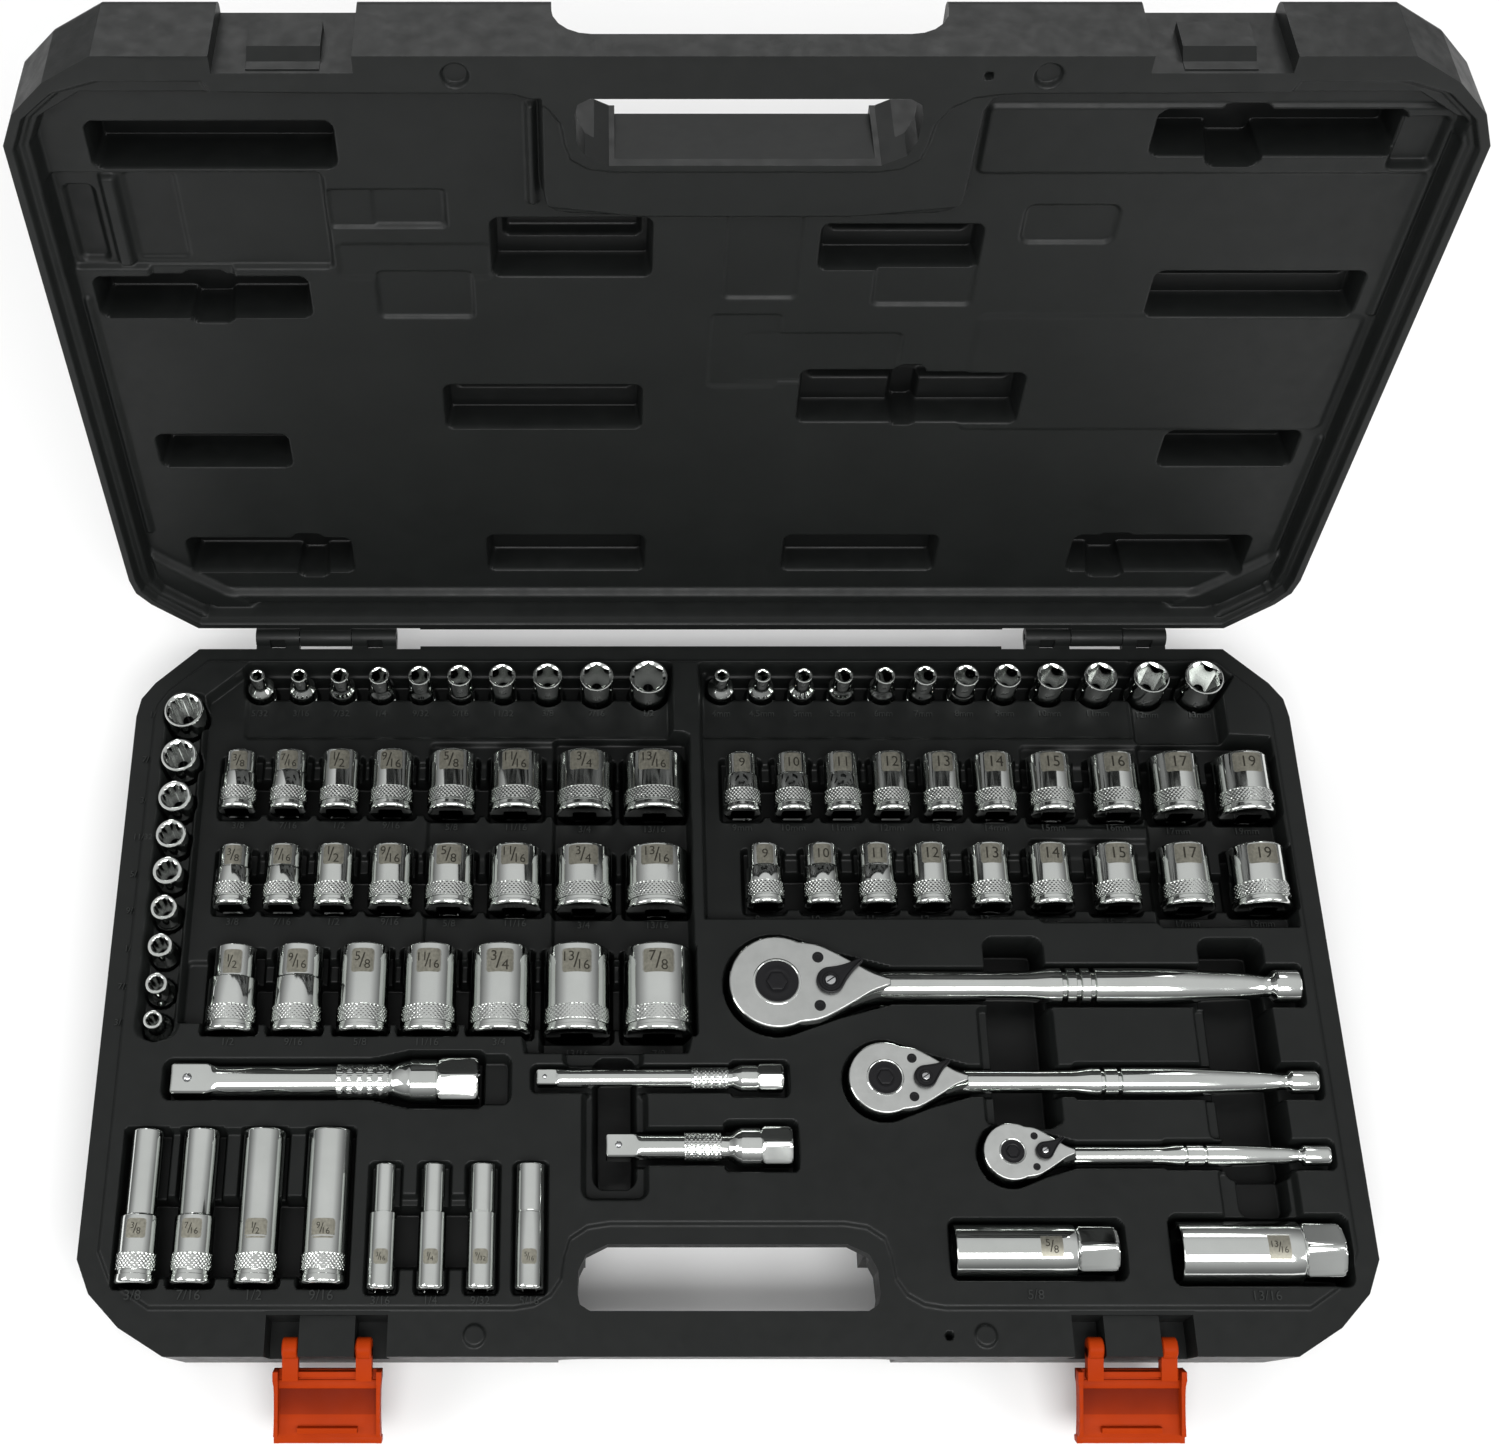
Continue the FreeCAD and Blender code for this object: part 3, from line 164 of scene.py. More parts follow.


# case_black's last colour is painted shade, laid into the deep recesses of the tray and lid lining
BLACK = plastic("case_black", (0.0066, 0.0074, 0.0071), (0.0098, 0.0109, 0.0104), 0.36, 0.50, 2600.0, 0.20, 0.22, (0.0022, 0.0025, 0.0024))
# latch_orange's last colour is painted shade, used on the sheet in front of the latch plate
ORANGE = plastic("latch_orange", (0.31, 0.0275, 0.0022), (0.38, 0.0365, 0.0032), 0.38, 0.52, 1800.0, 0.15, 0.04, (0.125, 0.0100, 0.0016))
CHROME = metal("polished_chrome", (0.68, 0.705, 0.68), (0.78, 0.805, 0.78), 0.045, 0.11, 30.0, etched=True, wave=0.010)
INKED = metal("etched_numeral", (0.045, 0.043, 0.036), (0.085, 0.080, 0.066), 0.42, 0.55, 300.0)
SATIN = metal("satin_chrome", (0.56, 0.575, 0.56), (0.64, 0.655, 0.64), 0.30, 0.40, 120.0)
STEEL = metal("bright_steel", (0.52, 0.53, 0.54), (0.66, 0.67, 0.68), 0.16, 0.28, 150.0)
OXIDE = plastic("black_steel", (0.010, 0.010, 0.011), (0.015, 0.015, 0.016), 0.30, 0.44, 1500.0, 0.08, 0.12)
# the raised marks are the case's black made lighter: painted highlight standing in for the light their relief catches
RELIEF_PAINTED_HIGHLIGHT = plastic("case_black_relief_painted_highlight", (0.015, 0.017, 0.016), (0.024, 0.026, 0.025), 0.30, 0.42, 2600.0, 0.10, 0.34)
RUBBER = plastic("black_rubber", (0.012, 0.012, 0.012), (0.022, 0.022, 0.021), 0.62, 0.80, 900.0, 0.35, 0.30)

# ------------------------------------------------------------------ mesh tools


class Acc:
    """Collects patches of one piece; lengths in millimetres in the shared frame."""

    def __init__(self):
        self.v, self.q, self.t, self.e, self.d, self.mq, self.mt = [], [], [], [], [], [], []
        self.n = 0

    def add(self, v, q=None, t=None, etch=None, mat=0, xf=None, deep=None):
        v = np.asarray(v, float)
        if xf is not None:
            v = v @ xf[:3, :3].T + xf[:3, 3]
        self.v.append(v)
        self.e.append(np.zeros(len(v)) if etch is None else np.asarray(etch, float))
        # deep: per-vertex strength of painted shade, 0 none to 1 full
        self.d.append(np.zeros(len(v)) if deep is None else np.asarray(deep, float))
        if q is not None and len(q):
            self.q.append(np.asarray(q, int) + self.n)
            self.mq.append(np.full(len(q), mat))
        if t is not None and len(t):
            self.t.append(np.asarray(t, int) + self.n)
            self.mt.append(np.full(len(t), mat))
        self.n += len(v)

    def make(self, name, mats, sharp=38.0, normals=None):
        v = np.concatenate(self.v)
        q = np.concatenate(self.q) if self.q else np.zeros((0, 4), int)
        t = np.concatenate(self.t) if self.t else np.zeros((0, 3), int)
        me = bpy.data.meshes.new(name)
        me.vertices.add(len(v))
        me.vertices.foreach_set("co", (v * MM).astype(np.float32).ravel())
        loops = np.concatenate([q.ravel(), t.ravel()]).astype(np.int32)
        me.loops.add(len(loops))
        me.loops.foreach_set("vertex_index", loops)
        starts = np.concatenate([np.arange(len(q)) * 4, len(q) * 4 + np.arange(len(t)) * 3]).astype(np.int32)
        me.polygons.add(len(starts))
        me.polygons.foreach_set("loop_start", starts)
        for m in mats:
            me.materials.append(m)
        mi = np.concatenate(self.mq + self.mt) if (self.mq or self.mt) else np.zeros(0)
        me.polygons.foreach_set("material_index", mi.astype(np.int32))
        me.polygons.foreach_set("use_smooth", np.ones(len(starts), bool))
        me.update(calc_edges=True)
        me.validate()
        a = me.attributes.new("etch", "FLOAT", "POINT")
        a.data.foreach_set("value", np.concatenate(self.e).astype(np.float32))
        # painted shade: darkens the albedo in recesses and on shadowed faces
        a = me.attributes.new("painted_shade", "FLOAT", "POINT")
        a.data.foreach_set("value", np.concatenate(self.d).astype(np.float32))
        if normals is not None:
            me.normals_split_custom_set_from_vertices(normals)
        elif sharp:
            me.set_sharp_from_angle(angle=math.radians(sharp))
        o = bpy.data.objects.new(name, me)
        bpy.context.scene.collection.objects.link(o)
        return o


def xform(pos=(0, 0, 0), axes=None):
    """4x4 from a position and the images of local x, y, z."""
    m = np.eye(4)
    if axes is not None:
        m[:3, :3] = np.array(axes, float).T
    m[:3, 3] = pos
    return m


ALONG_Y = [(1, 0, 0), (0, 0, -1), (0, 1, 0)]     # local z runs to +Y, local -y is up
ALONG_X = [(0, 1, 0), (0, 0, 1), (1, 0, 0)]      # local z runs to +X, local y is up
ALONG_MX = [(0, -1, 0), (0, 0, 1), (-1, 0, 0)]   # local z runs to -X, local y is up
LID_AXES = [(1, 0, 0), (0, math.cos(ALPHA), math.sin(ALPHA)), (0, -math.sin(ALPHA), math.cos(ALPHA))]
LID_XF = xform((0, HY, ZR), LID_AXES)


def lathe(acc, rings, ns, xf=None, mat=0, etch=None, cap0=True, cap1=True, deep=None):
    """Rings of (radius, height), each a number or one value per direction, joined in order."""
    th = 2 * np.pi * np.arange(ns) / ns
    vs, n = [], len(rings)
    for r, z in rings:
        r = np.broadcast_to(np.asarray(r, float), (ns,))
        z = np.broadcast_to(np.asarray(z, float), (ns,))
        vs.append(np.stack([r * np.cos(th), r * np.sin(th), z], 1))
    v = np.concatenate(vs)
    i = np.arange(n - 1)[:, None] * ns
    j = np.arange(ns)[None, :]
    k = (j + 1) % ns
    q = np.stack([i + j, i + ns + j, i + ns + k, i + k], -1).reshape(-1, 4)
    tris, extra = [], []
    jj = np.arange(ns)
    kk = (jj + 1) % ns
    if cap0:
        c = len(v)
        extra.append([0, 0, float(np.mean(rings[0][1]))])
        tris.append(np.stack([np.full(ns, c), jj, kk], 1))
    if cap1:
        c = len(v) + len(extra)
        extra.append([0, 0, float(np.mean(rings[-1][1]))])
        b = (n - 1) * ns
        tris.append(np.stack([np.full(ns, c), b + kk, b + jj], 1))
    if extra:
        v = np.concatenate([v, np.array(extra)])
    e = np.zeros(len(v))
    if etch is not None:
        e[: n * ns] = np.concatenate([np.broadcast_to(x, (ns,)) for x in etch])
    # deep: painted shade per ring; the cap centres get full painted shade
    painted_shade_values = np.zeros(len(v))
    if deep is not None:
        painted_shade_values[: n * ns] = np.repeat(np.asarray(deep, float), ns)
        painted_shade_values[n * ns:] = 1.0
    acc.add(v, q, np.concatenate(tris) if tris else None, e, mat, xf, painted_shade_values)


def ngon_r(th, half, sides, turn=0.0):
    """Distance from the axis to the flats of a polygon opening."""
    a = 2 * np.pi / sides
    p = np.mod(th - turn + a / 2, a) - a / 2
    return half / np.cos(p)


def loop_fan(acc, loop, z, mat=0, up=True, xf=None, centre=None):
    loop = np.asarray(loop, float)
    c = loop.mean(0) if centre is None else np.asarray(centre, float)
    n = len(loop)
    v = np.concatenate([np.column_stack([loop, np.full(n, z)]), [[c[0], c[1], z]]])
    j = np.arange(n)
    k = (j + 1) % n
    t = np.stack([j, k, np.full(n, n)], 1) if up else np.stack([k, j, np.full(n, n)], 1)
    acc.add(v, None, t, None, mat, xf)


def loop_normals(loop):
    d = np.roll(loop, -1, 0) - np.roll(loop, 1, 0)
    d /= np.linalg.norm(d, axis=1)[:, None] + 1e-12
    return np.column_stack([d[:, 1], -d[:, 0]])


def grown(loop, d):
    """The loop (anticlockwise) moved outwards by d."""
    return loop + loop_normals(loop) * d


def loft(acc, loops, zs, mat=0, xf=None, cap_top=True, cap_bottom=True, centre=None):
    """Loops of equal length at rising heights, anticlockwise."""
    n = len(loops[0])
    v = np.concatenate([np.column_stack([l, np.broadcast_to(np.asarray(z, float), (n,))]) for l, z in zip(loops, zs)])
    i = np.arange(len(loops) - 1)[:, None] * n
    j = np.arange(n)[None, :]
    k = (j + 1) % n
    q = np.stack([i + j, i + k, i + n + k, i + n + j], -1).reshape(-1, 4)
    acc.add(v, q, None, None, mat, xf)
    if cap_top:
        loop_fan(acc, loops[-1], float(np.mean(zs[-1])), mat, True, xf, centre)
    if cap_bottom:
        loop_fan(acc, loops[0], float(np.mean(zs[0])), mat, False, xf, centre)


def text_mesh(body, size, cuts=0.7, align="CENTER"):
    """Outline of a few characters as flat triangles, cut into narrow strips so that it can bend."""
    cu = bpy.data.curves.new("label", "FONT")
    cu.body = body
    cu.size = size
    cu.align_x = align
    cu.align_y = "CENTER"
    cu.resolution_u = 3
    ob = bpy.data.objects.new("label", cu)
    bpy.context.scene.collection.objects.link(ob)
    bpy.context.view_layer.update()
    me = bpy.data.meshes.new_from_object(ob.evaluated_get(bpy.context.evaluated_depsgraph_get()))
    bpy.data.objects.remove(ob)
    bpy.data.curves.remove(cu)
    bm = bmesh.new()
    bm.from_mesh(me)
    bpy.data.meshes.remove(me)
    if cuts and bm.verts:
        x0, x1 = min(v.co.x for v in bm.verts), max(v.co.x for v in bm.verts)
        for x in np.arange(x0 + cuts, x1, cuts):
            bmesh.ops.bisect_plane(bm, geom=bm.verts[:] + bm.edges[:] + bm.faces[:], plane_co=(x, 0, 0), plane_no=(1, 0, 0))
    bmesh.ops.triangulate(bm, faces=bm.faces[:])
    bm.verts.ensure_lookup_table()
    v = np.array([w.co[:] for w in bm.verts], float).reshape(-1, 3)
    t = np.array([[w.index for w in f.verts] for f in bm.faces], int).reshape(-1, 3)
    edges = np.array([[w.index for w in l.edge.verts] if l.edge.is_boundary else [-1, -1] for f in bm.faces for l in f.loops], int).reshape(-1, 2)
    order = np.array([[l.vert.index, l.link_loop_next.vert.index] if l.edge.is_boundary else [-1, -1] for f in bm.faces for l in f.loops], int).reshape(-1, 2)
    bm.free()
    order = order[order[:, 0] >= 0]
    return v[:, :2], t, order


_TEXT = {}


def label(body, size, cuts=0.7):
    """Characters; a fraction gets a raised numerator and a lowered denominator round its stroke."""
    key = (body, size, cuts)
    if key in _TEXT:
        return _TEXT[key]
    if "/" in body and cuts:
        parts, ps, ts, rs, n = body.split("/"), [], [], [], 0
        got = [text_mesh(parts[0], size * 0.78, cuts), text_mesh("/", size * 1.25, cuts), text_mesh(parts[1], size * 0.78, cuts)]
        wd = [np.ptp(g[0][:, 0]) for g in got]
        gap = size * 0.13
        cx = [-(wd[0] / 2 + gap), 0.0, wd[2] / 2 + gap]
        mid = (cx[0] - wd[0] / 2 + cx[2] + wd[2] / 2) / 2
        for g, x, y in zip(got, cx, (0.24 * size, 0.0, -0.24 * size)):
            p = g[0] - [(g[0][:, 0].min() + g[0][:, 0].max()) / 2, (g[0][:, 1].min() + g[0][:, 1].max()) / 2]
            ps.append(p + [x - mid, y])
            ts.append(g[1] + n)
            rs.append(g[2] + n)
            n += len(p)
        _TEXT[key] = (np.concatenate(ps), np.concatenate(ts), np.concatenate(rs))
    else:
        _TEXT[key] = text_mesh(body, size, cuts)
    return _TEXT[key]


def raised_text(acc, body, size, place, height, cuts=0.7, mat=0, xf=None):
    """Characters standing up from a surface: place(x, y, h) gives the point at height h above it."""
    p, t, rim = label(body, size, cuts)
    if not len(p):
        return
    n = len(p)
    top = place(p[:, 0], p[:, 1], height)
    low = place(p[:, 0], p[:, 1], -0.05)
    v = np.concatenate([top, low])
    q = np.column_stack([rim[:, 0], rim[:, 0] + n, rim[:, 1] + n, rim[:, 1]]) if len(rim) else None
    acc.add(v, q, t, None, mat, xf)


# ------------------------------------------------------------------ places of the tools

S12 = ["1/2", "7/16", "3/8", "11/32", "5/16", "9/32", "1/4", "7/32", "3/16"]
TWELVE = [(-236.7, 121.8, 12.70, 17.4, 17.4), (-236.9, 99.4, 11.11, 15.8, 15.8), (-237.0, 79.6, 9.53, 14.4, 14.4),
          (-237.0, 61.8, 8.73, 13.2, 13.2), (-237.0, 44.6, 7.94, 12.6, 12.6), (-237.0, 27.7, 7.14, 11.2, 12.0),
          (-237.0, 10.6, 6.35, 10.4, 12.0), (-237.0, -6.3, 5.56, 9.2, 12.0), (-237.0, -22.1, 4.76, 8.0, 12.0)]
SIN = ["5/32", "3/16", "7/32", "1/4", "9/32", "5/16", "11/32", "3/8", "7/16", "1/2"]
INCH_ROW = [(-205.2, 138.9, 3.97, 6.8, 12.0), (-186.4, 138.9, 4.76, 7.4, 12.0), (-168.2, 138.9, 5.56, 8.2, 12.0),
            (-150.4, 138.9, 6.35, 9.2, 12.0), (-132.2, 138.9, 7.14, 10.2, 12.0), (-114.1, 138.9, 7.94, 11.2, 12.0),
            (-94.9, 138.9, 8.73, 12.2, 12.2), (-74.5, 138.7, 9.53, 13.4, 13.4), (-52.3, 138.5, 11.11, 15.2, 15.2),
            (-28.9, 138.2, 12.70, 17.0, 17.0)]
SME = ["4", "4.5", "5", "5.5", "6", "7", "8", "9", "10", "11", "12", "13"]
METRIC_ROW = [(4.2, 138.9, 4.0, 6.8, 12.0), (22.6, 138.9, 4.5, 7.4, 12.0), (41.1, 138.9, 5.0, 7.8, 12.0),
              (59.2, 138.9, 5.5, 8.4, 12.0), (77.8, 138.9, 6.0, 9.0, 12.0), (95.9, 138.9, 7.0, 10.3, 12.0),
              (114.4, 138.9, 8.0, 11.3, 12.0), (132.9, 138.8, 9.0, 12.3, 12.3), (153.0, 138.6, 10.0, 13.7, 13.7),
              (174.8, 138.4, 11.0, 15.0, 15.0), (197.6, 138.2, 12.0, 16.2, 16.2), (221.4, 138.0, 13.0, 17.4, 17.4)]
SL = ["3/8", "7/16", "1/2", "9/16", "5/8", "11/16", "3/4", "13/16"]
ROW2_LEFT = [(-210.5, 9.53, 14.2, 16.6), (-188.4, 11.11, 15.4, 16.8), (-166.0, 12.70, 17.4, 17.8), (-143.0, 14.29, 19.0, 19.4),
             (-116.5, 15.88, 21.2, 21.6), (-88.1, 17.46, 23.2, 23.6), (-57.7, 19.05, 25.0, 25.4), (-26.9, 20.64, 27.2, 27.6)]
ROW3_LEFT = [(-209.5, 9.53, 14.2, 16.6), (-188.1, 11.11, 15.4, 16.8), (-166.0, 12.70, 17.4, 17.8), (-141.6, 14.29, 19.0, 19.4),
             (-116.2, 15.88, 21.2, 21.6), (-87.8, 17.46, 23.2, 23.6), (-58.0, 19.05, 25.0, 25.4), (-26.2, 20.64, 27.2, 27.6)]
SR2 = ["9", "10", "11", "12", "13", "14", "15", "16", "17", "19"]
ROW2_RIGHT = [(11.9, 9.0, 14.2, 16.8), (34.3, 10.0, 15.0, 16.8), (56.3, 11.0, 15.8, 17.0), (77.7, 12.0, 16.6, 17.0),
              (100.5, 13.0, 17.6, 18.0), (123.8, 14.0, 18.8, 19.2), (148.9, 15.0, 20.2, 20.6), (177.4, 16.0, 21.4, 21.8),
              (204.8, 17.0, 22.8, 23.2), (235.2, 19.0, 25.2, 25.6)]
SR3 = ["9", "10", "11", "12", "13", "14", "15", "17", "19"]
ROW3_RIGHT = [(20.5, 9.0, 14.2, 16.8), (45.3, 10.0, 15.0, 16.8), (69.1, 11.0, 15.8, 17.0), (92.4, 12.0, 16.6, 17.0),
              (118.2, 13.0, 17.6, 18.0), (144.3, 14.0, 18.8, 19.2), (173.0, 15.0, 20.2, 20.6), (203.5, 17.0, 22.8, 23.2),
              (235.9, 19.0, 25.2, 25.6)]
S4 = ["1/2", "9/16", "5/8", "11/16", "3/4", "13/16", "7/8"]
ROW4_LEFT = [(-206.2, 11.11, 17.8, 21.8), (-178.7, 12.70, 19.8, 21.8), (-151.0, 14.29, 21.6, 22.0), (-123.2, 17.46, 23.2, 23.6),
             (-93.1, 19.05, 25.8, 26.2), (-60.7, 20.64, 28.0, 28.4), (-26.2, 22.23, 29.6, 30.0)]
SD = ["3/8", "7/16", "1/2", "9/16"]
DEEP38 = [(-235.6, 9.53, 13.0, 16.6), (-213.5, 11.11, 14.6, 17.0), (-187.9, 12.70, 17.4, 17.8), (-161.1, 14.29, 18.4, 18.8)]
SQ = ["3/16", "1/4", "9/32", "5/16"]
DEEP14 = [(-137.7, 4.76, 8.4, 11.2), (-118.0, 6.35, 9.0, 11.4), (-98.3, 7.14, 10.2, 11.7), (-79.0, 7.94, 11.5, 11.7)]
LYING = {
    "sockets_inch_shallow": (ROW2_LEFT, SL, 88.9, 28.0, 9.525, 0.62),
    "sockets_inch_lower": (ROW3_LEFT, SL, 43.8, 28.0, 9.525, 0.62),
    "sockets_metric_upper": (ROW2_RIGHT, SR2, 87.8, 28.0, 9.525, 0.62),
    "sockets_metric_lower": (ROW3_RIGHT, SR3, 44.3, 28.0, 9.525, 0.62),
    "sockets_half_drive": (ROW4_LEFT, S4, -6.8, 38.0, 12.7, 0.62),
    "sockets_deep": (DEEP38, SD, -98.4, 62.0, 9.525, 0.40),
    "sockets_small_deep": (DEEP14, SQ, -106.8, 50.0, 6.35, 0.57),
}
STANDING = {"sockets_twelve_point": (TWELVE, S12, 12), "sockets_inch_small": (INCH_ROW, SIN, 6),
            "sockets_metric_small": (METRIC_ROW, SME, 6)}
RATCHETS = {
    "half": dict(x=23.4, y=-5.2, R=20.4, T=21.0, disc=9.2, lever=22.3, hub=5.9, tip=17.0, screw=(17.6, 10.6), vee=42.0,
                 shaft=6.4, grip=7.8, rings=(121.0, 127.0, 133.0), knob=(211.0, 7.1), end=220.6, sq=12.7, square=15.5,
                 button=4.4, sr=2.4, cover=2.4, flat=7.0),
    "mid": dict(x=66.3, y=-46.6, R=15.2, T=18.0, disc=7.0, lever=16.4, hub=4.8, tip=12.6, screw=(11.4, 8.1), vee=30.0,
                shaft=4.9, grip=6.1, rings=(90.0, 97.0), knob=(168.5, 5.0), end=179.2, sq=9.525, square=11.0,
                button=3.4, sr=2.0, cover=2.0, flat=7.0),
    "small": dict(x=115.9, y=-77.3, R=11.8, T=14.0, disc=4.9, lever=12.8, hub=3.7, tip=9.9, screw=(9.2, 6.3), vee=22.5,
                  shaft=3.7, grip=4.5, rings=(71.0, 79.0), knob=(119.7, 4.2), end=130.0, sq=6.35, square=7.5,
                  button=2.5, sr=1.5, cover=1.6, flat=7.0),
}

# ------------------------------------------------------------------ sockets


def socket_inside(ns, af, points, R, L, depth, thr):
    """Rings of the nut end, from the bottom of the opening out to the rim."""
    th = 2 * np.pi * np.arange(ns) / ns
    if points == 12:
        rh = np.maximum(ngon_r(th, af / 2, 6, 0.0), ngon_r(th, af / 2, 6, math.pi / 6))
    else:
        rh = ngon_r(th, af / 2, 6, 0.0)
    circ = af / math.sqrt(3.0)
    rm = min(circ * 1.03 + 0.1, R - 0.45)
    slope = 0.62
    zj = L - 0.08 - np.maximum(rm - rh, 0.02) * slope - 0.05
    return [(thr, L - depth - 3.0), (thr, L - depth), (rh * 0.999, L - depth), (rh, zj), (np.maximum(rm, rh + 0.01), L - 0.04),
            (rm + 0.08, L), (R - 0.50, L), (R - 0.22, L - 0.09), (R - 0.06, L - 0.28), (R, L - 0.55)]


# painted shade per ring: the inside of the opening darkens towards its bottom, the drive-end face and square hole
# darken inwards
IN_PAINTED_SHADE = [1.0, 0.9, 0.55, 0.03, 0.0, 0.0, 0.0, 0.0, 0.0, 0.0]
END_PAINTED_SHADE = [0.0, 0.0, 0.0, 0.15, 0.55, 0.75, 0.85, 1.0, 1.0]


def drive_end(ns, R, sq, depth):
    """Rings of the drive end, from the outside to the bottom of the square hole."""
    th = 2 * np.pi * np.arange(ns) / ns
    rs = np.minimum(ngon_r(th, sq / 2, 4, 0.0), sq / 2 * 1.30)
    return [(R, 1.35), (R - 0.10, 0.95), (R - 0.45, 0.42), (R - 0.95, 0.10), (R - 1.35, 0.0),
            (np.minimum(rs + 0.55, R - 1.45), 0.0), (rs, 0.55), (rs * 0.999, depth), (0.8, depth + 0.2)]


def standing_socket(acc, x, y, af, top, foot, points):
    ns = 144
    L = 25.0
    R, F = top / 2, foot / 2
    rings = socket_inside(ns, af, points, R, L, min(12.0, L - 9.0), min(af * 0.40, 2.4))
    if top < foot - 0.6:
        z1 = 12.5
        rings += [(R, z1 + 3.2), (R + 0.06, z1 + 2.4), (R + 0.35 * (F - R), z1 + 1.5), (F - 0.35, z1 + 0.35), (F - 0.08, z1 - 0.1), (F, z1 - 0.5)]
    else:
        rings += [(R, 12.0)]
    rings += [(F, 4.8), (F - 0.35, 4.5), (F - 0.35, 4.0), (F, 3.7)]
    deep = IN_PAINTED_SHADE + [0.0] * (len(rings) - len(IN_PAINTED_SHADE)) + END_PAINTED_SHADE
    rings += drive_end(ns, F, 6.35, 8.0)
    lathe(acc, rings, ns, xform((x, y, ZR + CREST - L)), 0, None, True, True, deep)


